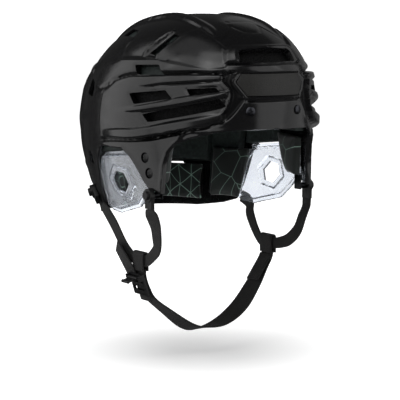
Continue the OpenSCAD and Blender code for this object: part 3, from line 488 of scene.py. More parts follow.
# The shell's moulded relief
shellLook = {
    # Swelling panels and lips as [angle, height, width, lift] with the width of their shoulders
    "ribs": [
        ([[90, 38, 6, 3.6], [78, 41.5, 9, 5.6], [67, 42, 10, 6.6], [54, 44.8, 8.4, 7.0],
          [30, 46.8, 6, 6.4]], 2.6),
        ([[82, 14, 4, 4.6], [72, 16.5, 6, 6.4], [58, 21, 8, 7.6], [44, 27, 8, 7.4],
          [27.5, 32.5, 6, 6.4]], 2.6),
        ([[92, -9, 8, 3.4], [80, -7.5, 10, 7.0], [67, -5.5, 10.5, 9.2], [48, 2.8, 11, 9.2],
          [30, 11, 9, 6.4]], 3.2),
        ([[31.6, 47.6, 2.2, 4.6], [29.3, 43.6, 2.4, 6.2], [25.6, 36, 2.6, 6.8],
          [25.3, 27.5, 2.6, 6.8], [28, 16.5, 2.6, 6.4], [33, 9.5, 2.4, 6.0]], 2.2),
        ([[31, 84, 5, 0.8], [38, 93, 8, 2.4], [58, 100.5, 10, 3.4], [90, 102.8, 11, 4],
          [118, 100.5, 10, 4], [137, 93, 8, 4], [148, 76, 7, 2.4], [152, 60, 6, 0.5]], 5.0),
        ([[75.5, 68.5, 3.4, 3.0], [71, 79, 3.4, 4.0], [65, 89.5, 3.4, 2.6]], 2.0),
        ([[66.5, 65.5, 1.6, 3.8], [65.4, 70, 1.6, 4.0], [57.2, 83, 1.6, 4.0],
          [50, 88.8, 1.6, 3.6]], 1.8),
        ([[27.4, 74, 1.4, 3.9], [27.4, 67, 1.4, 4.5], [27.4, 60, 1.4, 4.5]], 1.4),
        ([[17, 27, 1.8, 3.6], [24.4, 9.8, 1.8, 3.6], [30, 5.6, 1.8, 3.4], [38, 1.6, 1.8, 3.2],
          [47, -5, 1.8, 2.6]], 1.8),
        ([[0, 52.6, 1.2, 4.4], [19.6, 52.4, 1.2, 4.4], [24.2, 45, 1.2, 4.4],
          [20.4, 34, 1.2, 4.2], [17.4, 28.6, 1.2, 4.2], [0, 28.6, 1.2, 4.2]], 1.8),
        ([[94, -8, 3, 0.6], [89, -7, 3, 3.2], [84, -6.2, 3, 3.0]], 1.6),
        ([[112, 62, 6, 0.5], [127, 32, 9, 3], [126, -20, 9, 3], [124, -62, 7, 1]], 3.0),
        ([[116, -44, 6, 0.6], [135, -46, 8, 2.8], [160, -42, 8, 2.8], [180, -41, 8, 2.8]], 2.6),
        ([[112, 8, 5, 0.4], [118, 4, 7, 2.4], [136, -6, 7, 2.4], [150, -20, 6, 0.6]], 2.6)],
    # Raised fields as outline, lift, shoulder. The first two sink towards the ear, up to an
    # angle and over a span of degrees, to a least share of their lift.
    "fields": [
        ([(33, 51), (29.5, 45), (25.5, 37), (25.2, 27.5), (28, 16), (32.5, 9), (40, 1.5),
          (50, -3.8), (62, -9.4), (74, -12.2), (94.2, -15), (94.8, 20), (94.4, 33), (86, 43),
          (77, 47.6), (60, 49.6), (45, 50.6)], 5.0, 2.6, 93, 20, 0.75),
        ([(26.5, 51.5), (26.5, 58), (36.5, 55.4), (49.5, 60), (60, 62.8), (69.5, 64),
          (80, 63.6), (90, 62), (99.5, 57), (107, 50), (109, 40), (105, 30), (97, 31),
          (93, 34.5), (87.5, 42.5), (82, 46.5), (77, 49), (60, 51),
          (45, 52)], 3.4, 4.4, 111, 10, 0),
        ([(67.5, 62), (66, 70), (57.5, 83.5), (50, 89.6), (42.5, 91.5), (34, 84), (25.5, 73.5),
          (26.5, 57), (38, 52), (48.5, 56), (62, 59)], 2.4, 2.0),
        ([(-10, 60.1), (27.2, 60.1), (27.4, 66), (26.2, 73), (21, 76.4), (-10, 76.4)], 4.0, 1.2),
        ([(-10, 51.8), (26.6, 51.8), (27.6, 54.5), (27.2, 59), (-10, 59)], 3.7, 1.2),
        ([(-10, 28), (17.6, 28), (24.4, 45), (20.4, 52.6), (-10, 52.6)], 3.2, 1.8),
        ([(-10, -2), (46, -4), (36, 2.5), (24.5, 9.5), (17, 26), (-10, 26)], 2.4, 1.8),
        ([(46, -4), (52, -6), (62, -11.5), (74, -14.4), (92, -17), (96, -30), (100, -70),
          (52, -70), (50, -16)], 2.8, 2.0),
        ([(170, -30), (190, -30), (190, 84), (176, 84), (166, 60)], 2.0, 3.0),
        ([(128, 52), (146, 58), (160, 50), (158, 34), (136, 30)], 1.8, 2.2)],
    "plateRecess": ([(-10, 30.2), (16.4, 30.2), (22.6, 43.5), (19.2, 51.2), (-10, 51.2)], 0.4, 1.4),
    # Fine cut lines as [angle, height, depth, half width]
    "grooves": [
        [[93, 31, 0.3, 1.2], [90.5, 35, 1.0, 1.3], [85, 43.8, 1.7, 1.5], [77, 47.9, 2.2, 1.7],
          [60, 50, 2.2, 1.7], [45, 51, 2.2, 1.7], [31, 51, 1.6, 1.5]],
        [[67, 36.2, 0.3, 1.1], [60, 38.6, 1.2, 1.3], [42, 42.2, 1.4, 1.4], [30, 43.2, 0.8, 1.3]],
        [[76, 17.3, 0.2, 1.0], [66, 20.8, 0.8, 1.2], [51, 26, 0.9, 1.2], [27.5, 35, 0.6, 1.2]],
        [[72, 12.8, 0.2, 1.0], [62, 16.8, 0.8, 1.2], [50.5, 21.4, 0.9, 1.2],
          [27.5, 30, 0.6, 1.2]],
        [[92, -15.6, 0.1, 1.0], [74, -13.2, 0.3, 1.0], [66, -11.4, 0.9, 1.2],
          [58, -8.6, 2.4, 1.8], [50, -4.4, 2.8, 2.0], [36, 2, 2.2, 1.8], [27, 6.8, 1.0, 1.5]],
        [[0, 98.5, 1, 1.6], [10, 98.5, 1, 1.6], [18, 98, 0.6, 1.6]],
        [[16, 95, 1, 1.6], [8, 90, 1, 1.6], [0, 89, 1, 1.6]],
        [[28, 82, 0.6, 1.6], [22, 88, 1, 1.6], [17, 95, 1, 1.6]],
        [[86, 65, 0.6, 1.8], [93, 72, 1.2, 1.8], [96, 84, 1.2, 1.8]],
        [[110, 30, 0.6, 1.8], [112, 10, 1, 1.8], [112, -24, 1, 1.8], [107, -56, 0.6, 1.8]]],
    # The dark grained column beside the front plate
    "matte": [(26, 50.5), (28.6, 45.5), (25.3, 37), (24.9, 27.5), (27.6, 16.5), (31.5, 9.5),
          (25, 10), (17.6, 27), (18.4, 30), (24, 44.5), (20.6, 50.5)],
    # Slots as stations of [angle, low, high] and the slant of their ends in degrees
    "slots": [
        ([[76, 48.8, 57], [61.5, 49.8, 58]], 2.5),
        ([[73.5, 20.8, 30.8], [54.3, 27.6, 35.2]], 3.4),
        ([[45, 30.6, 36.6], [31, 34.3, 38.2]], 1.8),
        ([[65, 4.8, 12.4], [48, 11.8, 20], [32, 18.8, 26.8], [28.2, 21.5, 28.2]], 3.0),
        ([[70.5, 66.5, 69.3], [60.6, 85.5, 87.6]], 5.0),
        ([[107, 24, 36], [115, 26, 42]], 0),
        ([[107, -44, -36], [113, -42, -30]], 0),
        ([[143, -60, -53], [158, -59, -53]], 2),
        ([[138, 8, 20], [150, 8, 24]], 0),
        ([[150, 66, 74], [163, 66, 76]], 2),
        ([[100, 84, 90], [120, 84, 91]], 4)],
    "frontSlot": [[-19.5, 61, 69.5], [-17.5, 61, 71.5], [0, 61.2, 73.2], [17.5, 61, 71.5],
                  [19.5, 61, 69.5]],
    # How far the slots' ends are rounded and their height there, how the slots' edges drop and get
    # painted shade, each with its reach, the bead along the rim, and a groove's depth at full
    # painted shade
    "slotEnds": (1.8, 0.72), "slotEdge": ((0.9, 2.4), (0.6, 1.2)), "rimBead": (0.9, 1.2, 2.6),
    "darkDepth": 1.5,
    # Steps of the columns in degrees before and behind coarseFrom, and of the rows in millimetres
    "columns": (0.63, 1.6), "coarseFrom": 100, "rows": ((-97, -26, 1.7), (-26, 62, 0.87)),
    "upperRows": 60, "insideRows": 12,
    # How the rows lean to run along the gills: (height beside the temple, rise per degree), from
    # a first to a last angle about a middle one
    "lean": [(-62, 0), (-11.5, 0.3), (1.5, 0.4), (22, 0.4), (42.6, 0.14), (50, 0.08), (62, 0.06),
             (80, 0)],
    "leanSpan": (27, 94, 58)}


def segmentDistance(points, line):
    # Distance from each point to a 3-D line, and how far along the line its nearest place is
    best = np.full(len(points), 1e9)
    where = np.zeros(len(points))
    for i in range(len(line) - 1):
        a, d = line[i], line[i + 1] - line[i]
        t = np.clip(((points - a) @ d) / max(d @ d, 1e-9), 0, 1)
        gap = np.linalg.norm(points - a - t[:, None] * d, axis=1)
        closer = gap < best
        best[closer] = gap[closer]
        where[closer] = i + t[closer]
    return best, where


def insideOutline(angle, z, outline):
    inside = np.zeros(len(angle), bool)
    for (a0, z0), (a1, z1) in zip(outline, outline[1:] + outline[:1]):
        crosses = (z0 > z) != (z1 > z)
        with np.errstate(divide="ignore", invalid="ignore"):
            at = (a1 - a0) * (z - z0) / (z1 - z0) + a0
        inside ^= crosses & (angle < at)
    return inside


def outlineDepth(points, angle, z, outline):
    # How far inside an outline each point lies, in millimetres, negative outside
    corners = np.array(outline + outline[:1], float)
    dense = [np.linspace(corners[i], corners[i + 1], 7)[:-1] for i in range(len(outline))]
    dense = np.vstack(dense + [corners[-1:]])
    gap, _ = segmentDistance(points, skin(dense[:, 0], dense[:, 1]))
    return np.where(insideOutline(angle, z, outline), gap, -gap)


def alongLine(points, stations):
    # Distance to a smooth line on the skin, and the stations' further values nearest to it
    line = bend(stations, 6)
    gap, where = segmentDistance(points, skin(line[:, 0], line[:, 1]))
    return gap, [np.interp(where, range(len(line)), column) for column in line[:, 2:].T]


def slotField(stations, slant):
    # Maps a unit square to a slot with rounded ends
    line = np.array(stations, float)
    spans = np.linspace(0, 1, len(line))
    length = abs(line[-1, 0] - line[0, 0]) * form["girthStep"]
    endRound, endHeight = shellLook["slotEnds"]

    def field(u, v):
        low, high = np.interp(u, spans, line[:, 1]), np.interp(u, spans, line[:, 2])
        ends = np.clip(np.minimum(u, 1 - u) * length / endRound, 0, 1)
        fit = np.sqrt(np.clip(1 - (1 - ends) ** 2, 0.3, 1))
        middle, half = (low + high) / 2, (high - low) / 2 * (endHeight + (1 - endHeight) * fit)
        z = middle + (2 * v - 1) * half
        return np.interp(u, spans, line[:, 0]) + slant * (v - 0.5), z
    return field


def slotCutter(stations, slant, side):
    # From 16 mm over the skin to 10 mm under it
    field = slotField(stations, slant)

    def placed(u, v):
        a, z = field(u, v)
        return a * side, z
    return wrapSlab(placed, 20, 4, lambda u, v, w: 16 - 26 * w, bevelWidth=0)


def shellLift(angle, z):
    # Height of the moulded relief over the plain skin, with its mask of painted shade in the
    # grooves and at the slots' edges, and its matte mask
    side = np.abs(angle)
    points = skin(side, z)
    lift = np.zeros(len(side))
    for outline, height, shoulder, *fading in shellLook["fields"]:
        end, span, least = fading or (360, 1, 1)
        fade = least + (1 - least) * smooth((end - side) / span)
        inside = smooth(outlineDepth(points, side, z, outline) / shoulder + 0.35)
        lift = np.maximum(lift, height * fade * inside)
    for stations, shoulder in shellLook["ribs"]:
        gap, (width, height) = alongLine(points, stations)
        rise = smooth((width / 2 + shoulder * 0.5 - gap) / shoulder)
        lift = np.maximum(lift, height * rise)
    outline, floor, shoulder = shellLook["plateRecess"]
    sink = smooth(outlineDepth(points, side, z, outline) / shoulder + 0.5)
    lift = lift * (1 - sink) + floor * sink
    paintedShade = np.zeros(len(side))
    # Grooves cut in, and their painted shade grows with their depth
    for stations in shellLook["grooves"]:
        gap, (depth, half) = alongLine(points, stations)
        cut = 1 - smooth(gap / half)
        lift -= depth * cut
        paintedShade = np.maximum(paintedShade, cut * np.clip(depth / shellLook["darkDepth"], 0, 1))
    # The slots' edges roll in a little and get painted shade
    (drop, dropReach), (dark, darkReach) = shellLook["slotEdge"]
    for stations, slant in shellLook["slots"] + [(shellLook["frontSlot"], 0)]:
        u = np.linspace(0, 1, 30)
        field = slotField(stations, slant)
        top, low = (np.stack(field(u, np.full(30, end)), -1) for end in (1.0, 0.0))
        loop = np.vstack([top, low[::-1], top[:1]])
        gap, _ = segmentDistance(points, skin(np.abs(loop[:, 0]), loop[:, 1]))
        lift -= drop * (1 - smooth(gap / dropReach))
        paintedShade = np.maximum(paintedShade, dark * (1 - smooth(gap / darkReach)))
    bead, beadRise, beadFall = shellLook["rimBead"]
    gap, _ = segmentDistance(points, skin(rimLine[:, 0], rimLine[:, 1]))
    lift += bead * smooth(gap / beadRise) * (1 - smooth((gap - beadRise) / beadFall))
    matte = smooth(outlineDepth(points, side, z, shellLook["matte"]) + 0.5)
    return lift, paintedShade, matte


def domeHeight(low, share):
    # Height at a share of the way over the dome, from low to the top
    top, n = form["crownHeight"], form["domeRound"]
    first = math.asin((low / top) ** (n / 2))
    return top * np.sin(first + (math.pi / 2 - first) * share) ** (2 / n)


def crownFacing(angle, z):
    # The outward direction, which is upright at the very top
    flat = smooth((z - form["crownHeight"] + 1.5) / 1.4)[:, None]
    return facing(angle, z) * (1 - flat) + np.array([0, 0, 1.0]) * flat


def eased(values, i, j, outer):
    # Each outside point takes a little from its neighbours, which rounds the shoulders
    sheet = np.zeros((j.max() + 1, i.max() + 1))
    sheet[j, i] = values
    first = j[outer].min()
    part = sheet[first:]
    for axis, pad in ((0, ((1, 1), (0, 0))), (1, ((0, 0), (1, 1)))):
        wide = np.pad(part, pad, mode="edge")
        part = (0.25 * wide[:-2] + 0.5 * wide[1:-1] + 0.25 * wide[2:]) if axis == 0 else (
            0.25 * wide[:, :-2] + 0.5 * wide[:, 1:-1] + 0.25 * wide[:, 2:])
    sheet[first:] = part
    return sheet[j, i]


def shellMesh():
    # One closed sheet: down the plain inside from the top, round the rim, up the outside
    front, back = shellLook["columns"]
    turnAt, inside = shellLook["coarseFrom"], shellLook["insideRows"]
    half = [a for a in np.concatenate([np.arange(0, turnAt, front), np.arange(turnAt, 180, back)])
            if np.min(np.abs(rimLine[:, 0] - a)) > 0.25]
    half = sorted(half + list(rimLine[:, 0]))
    columns = np.array([-a for a in half[::-1]] + half[1:])
    rimZ = np.interp(np.abs(columns), rimLine[:, 0], rimLine[:, 1])
    lower = np.concatenate([np.arange(a, b, step) for a, b, step in shellLook["rows"]])
    share = np.arange(shellLook["upperRows"] + 1) / shellLook["upperRows"]
    level = np.concatenate([lower, domeHeight(shellLook["rows"][-1][1], share)])
    count = inside + 1 + len(level)
    bm = bmesh.new()
    bmesh.ops.create_grid(bm, x_segments=len(columns) - 1, y_segments=count, size=0.5)
    co = gridCoords(bm)
    i = np.rint((co[:, 0] + 0.5) * (len(columns) - 1)).astype(int)
    j = np.rint((co[:, 1] + 0.5) * count).astype(int)
    angle = columns[i]
    outer = j > inside + 1
    # Outside rows lean along the gills and stop at the rim
    row = level[np.clip(j - inside - 2, 0, len(level) - 1)]
    leanZ, leanRise = np.array(shellLook["lean"]).T
    low, high, middle = shellLook["leanSpan"]
    z = row - np.interp(row, leanZ, leanRise) * (np.clip(np.abs(angle), low, high) - middle)
    z = np.where(outer, np.maximum(z, rimZ[i]), rimZ[i])
    top, n = form["crownHeight"], form["domeRound"]
    arc = np.sin(np.clip(1 - j / inside, 0, 1) ** 0.8 * math.pi / 2) ** (2 / n)
    z = np.where(j < inside, rimZ[i] + (top - rimZ[i]) * arc, z)
    z = np.where(j <= 0, top, z)
    lift, paintedShade, matte = shellLift(angle, z)
    # Points held at the rim keep their height, so that they still fall together
    lift = np.where(z <= rimZ[i] + 1e-6, lift, eased(lift, i, j, outer))
    height = np.where(outer, lift, -form["wall"])
    height = np.where(j == inside + 1, -form["wall"] / 2, height)
    points = skin(angle, z) + crownFacing(angle, z) * height[:, None]
    points[:, 2] -= np.where(j == inside + 1, 0.5, 0)
    mesh = meshOf(bm, points)
    for name, values in (("paintedShade", paintedShade), ("matteZone", matte)):
        layer = mesh.attributes.new(name, "FLOAT", "POINT")
        layer.data.foreach_set("value", values.astype(np.float32))
    openEdges = mended(mesh, 0.03, 0.01, turned=lambda bm: max(
        bm.faces, key=lambda f: f.calc_center_median().z).normal.z < 0)
    # A cut only works on a closed sheet
    print("shell sheet", len(mesh.polygons), "open edges", openEdges)
    return mesh


def roundBar(radius, length, turn, middle, segments):
    bm = bmesh.new()
    bmesh.ops.create_cone(bm, cap_ends=True, segments=segments, radius1=radius * mm,
                          radius2=radius * mm, depth=length * mm)
    bmesh.ops.rotate(bm, cent=(0, 0, 0), matrix=turn, verts=bm.verts[:])
    bmesh.ops.translate(bm, vec=[v * mm for v in middle], verts=bm.verts[:])
    return meshOf(bm)


def drum(radius, start, end):
    # A round cutter or boss on the dial's axis, from start to end behind the dial's seat
    start, end = dial["seat"] + start, dial["seat"] + end
    return roundBar(radius, end - start, Matrix.Rotation(math.pi / 2, 3, "X"),
                    (0, (start + end) / 2, -dial["drop"]), 96)


def pinCutter(place, side, radius, low, high):
    # A round cutter square to the skin at (angle, height), from low to high over the skin
    angle, z = place[0] * side, place[1]
    turn = Vector(facing(angle, z)).to_track_quat("Z", "Y").to_matrix()
    return roundBar(radius, high - low, turn, over(angle, z, (low + high) / 2), 32)


def cutBy(mesh, *tools, operation="DIFFERENCE"):
    for tool in tools:
        holder = linked("tool", tool)
        mesh = withModifiers(mesh, ("BOOLEAN", {"object": holder, "operation": operation,
                                                "solver": "MANIFOLD"}))
        bpy.data.objects.remove(holder)
    return mesh


# Places as (angle, height), and the radii of what goes through the shell and the foam there
fixings = {"brow": (14.5, 17), "lobes": [(65.4, -29), (63.2, -43.5)], "rearStud": (117, -72),
           "screwHole": 2.4, "headSeat": 5.1, "studHole": 3.4, "nutRoom": 6.0}
dial = {"drop": 66.0, "radius": 17.0, "hub": 8.0}
dial["seat"] = float(skin(180.0, -dial["drop"])[1]) - 1
cutters = [slotCutter(shellLook["frontSlot"], 0, 1)]
for stations, slant in shellLook["slots"]:
    cutters += [slotCutter(stations, slant, side) for side in (1, -1)]
for side in (1, -1):
    cutters.append(pinCutter(fixings["brow"], side, fixings["screwHole"], -6, 8))
    for radius, low, high in ((fixings["screwHole"], -6, 8), (fixings["headSeat"], -1, 9)):
        cutters += [pinCutter(lobe, side, radius, low, high) for lobe in fixings["lobes"]]
    cutters.append(pinCutter(fixings["rearStud"], side, fixings["studHole"], -6, 6))
cutters += [drum(dial["radius"] + 1.2, -0.05, 12), drum(dial["hub"] + 0.5, -10, 10)]
shell = cutBy(shellMesh(), drum(dial["radius"] + 5, -2, 3), operation="UNION")
shell = cutBy(shell, *cutters)
putPiece("shellMoulded", shell, "helmet", "shell", ["shell"], sharp=42)
print("shell ready", len(shell.polygons))

# Plates and screens: four corners, or the ends' half widths in degrees, with outer and inner
# height over the skin. The badge plate is six-sided and draws out to a point at mid height.
plates = {"badge": {"ends": ([0, 0.62, 1], [16.2, 22.0, 19.0]), "foot": 30.8, "tall": 20,
                    "depth": (0.5, 1.9)},
          "sideScreen": {"corners": [(84, -1), (26, 14), (26, 42), (84, 40)]},
          "frontScreen": {"corners": [(-23, 58), (23, 58), (22, 77), (-22, 77)]},
          "screenDepth": (-4.9, -3.8)}


def slabBetween(field, low, high, across=24, along=8, bevelWidth=0.4):
    return wrapSlab(field, across, along, lambda u, v, w: high + (low - high) * w, bevelWidth)


def badgeField(u, v):
    badge = plates["badge"]
    half = np.interp(v, *badge["ends"])
    return (2 * u - 1) * half, badge["foot"] + v * badge["tall"]


badgePlate = slabBetween(badgeField, *plates["badge"]["depth"], 30, 12, 0.35)
putPiece("badgePlate", badgePlate, "helmet", "plate", ["badge_plate"])
sideCorners, frontCorners = plates["sideScreen"]["corners"], plates["frontScreen"]["corners"]
for name, node, corners in (("sideScreenLeft", "vent_screen_left", sideCorners),
                            ("sideScreenRight", "vent_screen_right", mirrored(sideCorners)),
                            ("frontScreen", "front_screen", frontCorners)):
    screen = slabBetween(cornerField(corners), *plates["screenDepth"])
    putPiece(name, screen, "helmet", "screen", [node])
print("plates and screens ready")

# Comfort pads: corners, outer and inner height over the skin, how much of their thickness
# the edges keep, how far the sides draw in, and the grid across and along
padLook = {
    "forehead": ([(-47, 3), (47, 3), (47, 44), (-47, 44)], -19, -28, 0.45, 0.04, 36, 14),
    "temple": ([(58.8, -53), (67, -53), (79, -15), (55, -15)], -7.0, -20.2, 0.5, 0.03, 14, 16),
    "side": ([(60, -8), (100, -14), (100, 50), (54, 50)], -16, -25, 0.45, 0.04, 22, 14),
    "rear": ([(99, -89), (121, -90), (121, -38), (96, -36)], -16, -25, 0.45, 0.03, 16, 18),
    "nape": ([(127, -95.5), (233, -95.5), (233, -58), (127, -58)],
             -19.2, -28.2, 0.45, 0.03, 40, 14),
    # Roundness of the edges in millimetres, and how full the pads are
    "edge": 1.8, "fill": 0.7}


def crowned(out, inner, swell):
    # Full in the middle, thinner at the edges, on the head side only
    def depth(u, v, w):
        bulge = np.clip(np.sin(np.pi * u) * np.sin(np.pi * v), 0, 1) ** 0.45
        return out + (inner - out) * (swell + (1 - swell) * bulge) * w
    return depth


def padPiece(name, node, look, side=1, body="helmet", finish=None, cut=()):
    corners, out, inner, swell, pull, across, along = look
    field = cornerField(corners if side > 0 else mirrored(corners), pull)
    depth = crowned(out, inner, swell)
    mesh = wrapSlab(field, across, along, depth, padLook["edge"], layers=3)
    mesh = withModifiers(cutBy(mesh, *cut), ("SUBSURF", {"levels": 1, "render_levels": 1}))
    piece = putPiece(name, mesh, body, "pad", [node], finish, sharp=70)


padPiece("foreheadPad", "forehead_pad", padLook["forehead"])
for side, word in ((1, "Left"), (-1, "Right")):
    nuts = [pinCutter(lobe, side, fixings["nutRoom"], -17, -2) for lobe in fixings["lobes"]]
    padPiece("templePad" + word, "temple_pad_" + word.lower(), padLook["temple"], side, cut=nuts)
    padPiece("sidePad" + word, "side_pad_" + word.lower(), padLook["side"], side)
    padPiece("rearPad" + word, "rear_pad_" + word.lower(), padLook["rear"], side)
padPiece("napePad", "nape_pad", padLook["nape"], body="cradle", finish="napePad",
         cut=[drum(dial["hub"] + 1, -40, 0)])


def crownCap(name, node, low, out, inner, slot, swell=1.0):
    # A padded cap over the top of the head, from the height low up
    bm = slabGrid(64, 12)
    co = gridCoords(bm)
    up = co[:, 1] + 0.5
    z = domeHeight(low, up)
    angle = (co[:, 0] + 0.5) * 360
    full = swell + (1 - swell) * np.clip(up * 3, 0, 1) ** 0.5
    height = out + (inner - out) * co[:, 2] * full
    points = skin(angle, z) + crownFacing(angle, z) * height[:, None]
    mesh = meshOf(bm, points)
    setFlow(mesh, points[:, :2] * mm)
    # The walls where the grid meets itself at the back go before its two ends are joined
    mended(mesh, 0.05, 0.02, gone=lambda face: all(abs(v.co.x) < 1e-6 for v in face.verts))
    piece = putPiece(name, mesh, "helmet", slot, [node], sharp=50)


crownCap("crownFoam", "liner_crown", 81.5, -3.8, -15.2, "foam")
crownCap("crownPad", "crown_pad", 93, -16, -23.2, "pad", 0.5)

# Bead foam liner: corners of its parts, and their outer and inner heights over the skin
foamLook = {"front": [(-49, 0), (49, 0), (49, 78), (-49, 78)],
            "side": [(50.5, -8), (101, -14), (101, 78), (50.5, 78)],
            "ear": [(81, -25), (101, -30.5), (101, -13), (81, -11)],
            "wing": [(107, -84), (124, -87), (124, 78), (102.5, 78)],
            "back": [(123.5, -53), (236.5, -53), (236.5, 78), (123.5, 78)],
            "out": -5.7, "in": -15.2, "frontIn": -18.2, "backIn": -23.2, "edge": 1.5, "fill": 0.9}


def foamSlab(part, across, along, inner="in", side=1):
    corners = foamLook[part] if side > 0 else mirrored(foamLook[part])
    return slabBetween(cornerField(corners), foamLook[inner], foamLook["out"], across, along,
                       foamLook["edge"])


def foamPiece(name, node, mesh):
    piece = putPiece(name, mesh, "helmet", "foam", [node], sharp=50)


nuts = [pinCutter(fixings["brow"], side, fixings["nutRoom"], -17, -2) for side in (1, -1)]
foamPiece("frontFoam", "liner_front", cutBy(foamSlab("front", 40, 24, "frontIn"), *nuts))
for side, word in ((1, "Left"), (-1, "Right")):
    foam = cutBy(foamSlab("side", 26, 26, side=side), foamSlab("ear", 10, 8, side=side),
                 operation="UNION")
    foamPiece("sideFoam" + word, "liner_side_" + word.lower(), foam)
wings = [foamSlab("wing", 12, 40, side=side) for side in (1, -1)]
foam = cutBy(foamSlab("back", 48, 30, "backIn"), *wings, operation="UNION")
studs = [pinCutter(fixings["rearStud"], side, fixings["nutRoom"], -11, -3) for side in (1, -1)]
foamPiece("rearFoam", "liner_rear", cutBy(foam, *studs, drum(dial["radius"] + 6, -40, 20)))
print("foam and pads ready")

# Ear guards, in their own (back, height) plane before they are laid on the skin. The outline
# turns one way only, and its top is a flange that bends inwards.
guardLook = {"outline": [(-71, -21), (20, -30.6), (30, -38), (36, -52), (36, -86), (26, -90),
                         (6, -91), (-37, -80.5), (-63, -60), (-72, -52)],
             "sheet": (112, 74), "sheetAt": (-19, -57), "middle": (-12, -57), "step": 1.25,
             "thick": 2.4, "height": -3.6, "edge": 0.5,
             # The flange's line as height at its front end and slope, its bend and its depth
             "flangeFrom": (-71, -25.2), "slope": -0.1055, "bendWide": 2.2, "flangeIn": 2.6,
             # Width of the rim, of its bend, and how far it steps in
             "rim": 3.4, "rimBend": 0.9, "rimIn": 0.9,
             # The hexagonal ring round the ear hole, drawn out sideways by stretch
             "ear": (-11, -57), "hole": 11.5, "ring": 5.0, "ringLift": 1.6, "stretch": 1.4,
             "turn": 38}


def hexReach(y, z):
    # Six-sided distance from the middle of the ear hole
    dy, dz = (y - guardLook["ear"][0]) / guardLook["stretch"], z - guardLook["ear"][1]
    turns = [math.radians(60 * k + guardLook["turn"]) for k in range(6)]
    reach = [dy * math.cos(turn) + dz * math.sin(turn) for turn in turns]
    return np.max(reach, axis=0) / math.cos(math.radians(30))


def planeCut(bm, at, out, clear=False):
    bmesh.ops.bisect_plane(bm, geom=bm.verts[:] + bm.edges[:] + bm.faces[:], plane_co=at,
                           plane_no=out, clear_outer=clear)


def earGuard(side):
    bm = bmesh.new()
    wide, tall = guardLook["sheet"]
    bmesh.ops.create_grid(bm, x_segments=int(wide / guardLook["step"]),
                          y_segments=int(tall / guardLook["step"]), size=0.5)
    bmesh.ops.scale(bm, vec=(wide, tall, 1), verts=bm.verts[:])
    bmesh.ops.translate(bm, vec=(*guardLook["sheetAt"], 0), verts=bm.verts[:])
    line, rimWide, rimBend = guardLook["outline"], guardLook["rim"], guardLook["rimBend"]
    middle = Vector((*guardLook["middle"], 0))
    sides = list(zip(line, line[1:] + line[:1]))
    for (y0, z0), (y1, z1) in sides:
        out = Vector((z1 - z0, y0 - y1, 0)).normalized()
        if out.dot(Vector((y0, z0, 0)) - middle) < 0:
            out = -out
        planeCut(bm, (y0, z0, 0), out, clear=True)
    # Edge loops where the sheet bends: at the flange, inside the rim and round the ring
    (flangeY, flangeZ), slope = guardLook["flangeFrom"], guardLook["slope"]
    bendWide = guardLook["bendWide"]
    for rise in (0, bendWide):
        planeCut(bm, (flangeY, flangeZ + rise, 0), (-slope, 1, 0))
    for (y0, z0), (y1, z1) in sides[1:]:
        inwards = Vector((z0 - z1, y1 - y0, 0)).normalized()
        inwards *= 1 if inwards.dot(middle - Vector((y0, z0, 0))) > 0 else -1
        for d in (0, rimBend):
            planeCut(bm, Vector((y0, z0, 0)) + inwards * (rimWide + d), inwards)
    hole, ring, stretch = guardLook["hole"], guardLook["ring"], guardLook["stretch"]
    for k in range(6):
        turn = math.radians(60 * k + guardLook["turn"])
        out = Vector((math.cos(turn) / stretch, math.sin(turn), 0)).normalized()
        flat = Vector((math.cos(turn) * stretch, math.sin(turn), 0)) * hole
        at = Vector((*guardLook["ear"], 0)) + flat * math.cos(math.radians(30))
        for reach in (0, ring, ring + 0.9):
            planeCut(bm, at + reach * out, out)
    gone = [f for f in bm.faces if hexReach(*f.calc_center_median().xy) < hole]
    bmesh.ops.delete(bm, geom=gone, context="FACES")
    co = gridCoords(bm)
    y, z = co[:, 0], co[:, 1]
    raised = np.clip(hole + ring * 1.12 + 1.0 - hexReach(y, z), 0, 1)
    edge = [np.abs((z - z0) * (y1 - y0) - (y - y0) * (z1 - z0)) / math.hypot(y1 - y0, z1 - z0)
            for (y0, z0), (y1, z1) in sides[1:]]
    above = z - flangeZ - slope * (y - flangeY)
    flange = guardLook["flangeIn"] * np.clip(above / bendWide, 0, 1)
    rimIn = guardLook["rimIn"] * (1 - np.clip((np.min(edge, axis=0) - rimWide) / rimBend, 0, 1))
    # The angle on the skin that lies so far back at this height, found in a few rounds
    angle = np.full(len(y), 90.0)
    for _ in range(12):
        half = np.where(y < 0, form["frontLen"], form["backLen"])
        along = np.clip(y / (girth(angle, z) * half), -1, 1)
        turned = -np.sign(along) * np.abs(along) ** (form["planRound"] / 2)
        angle = np.degrees(np.arccos(turned))
    height = guardLook["height"] + guardLook["ringLift"] * raised - (flange + rimIn)
    points = over(angle, z, height)
    points[:, 0] *= side
    mesh = meshOf(bm, points)
    mended(mesh, 0.02, turned=lambda bm: sum(f.normal.x for f in bm.faces) * side < 0)
    mesh = withModifiers(mesh, ("SOLIDIFY", {"thickness": guardLook["thick"] * mm, "offset": -1}),
                         roundEdges(guardLook["edge"], 2))
    return cutBy(mesh, *(pinCutter(lobe, side, fixings["screwHole"], -12, 4)
                         for lobe in fixings["lobes"]))


for side, word in ((1, "Left"), (-1, "Right")):
    putPiece("earGuard" + word, earGuard(side), "helmet", "guard",
             ["ear_guard_" + word.lower()], sharp=40)
print("ear guards ready")

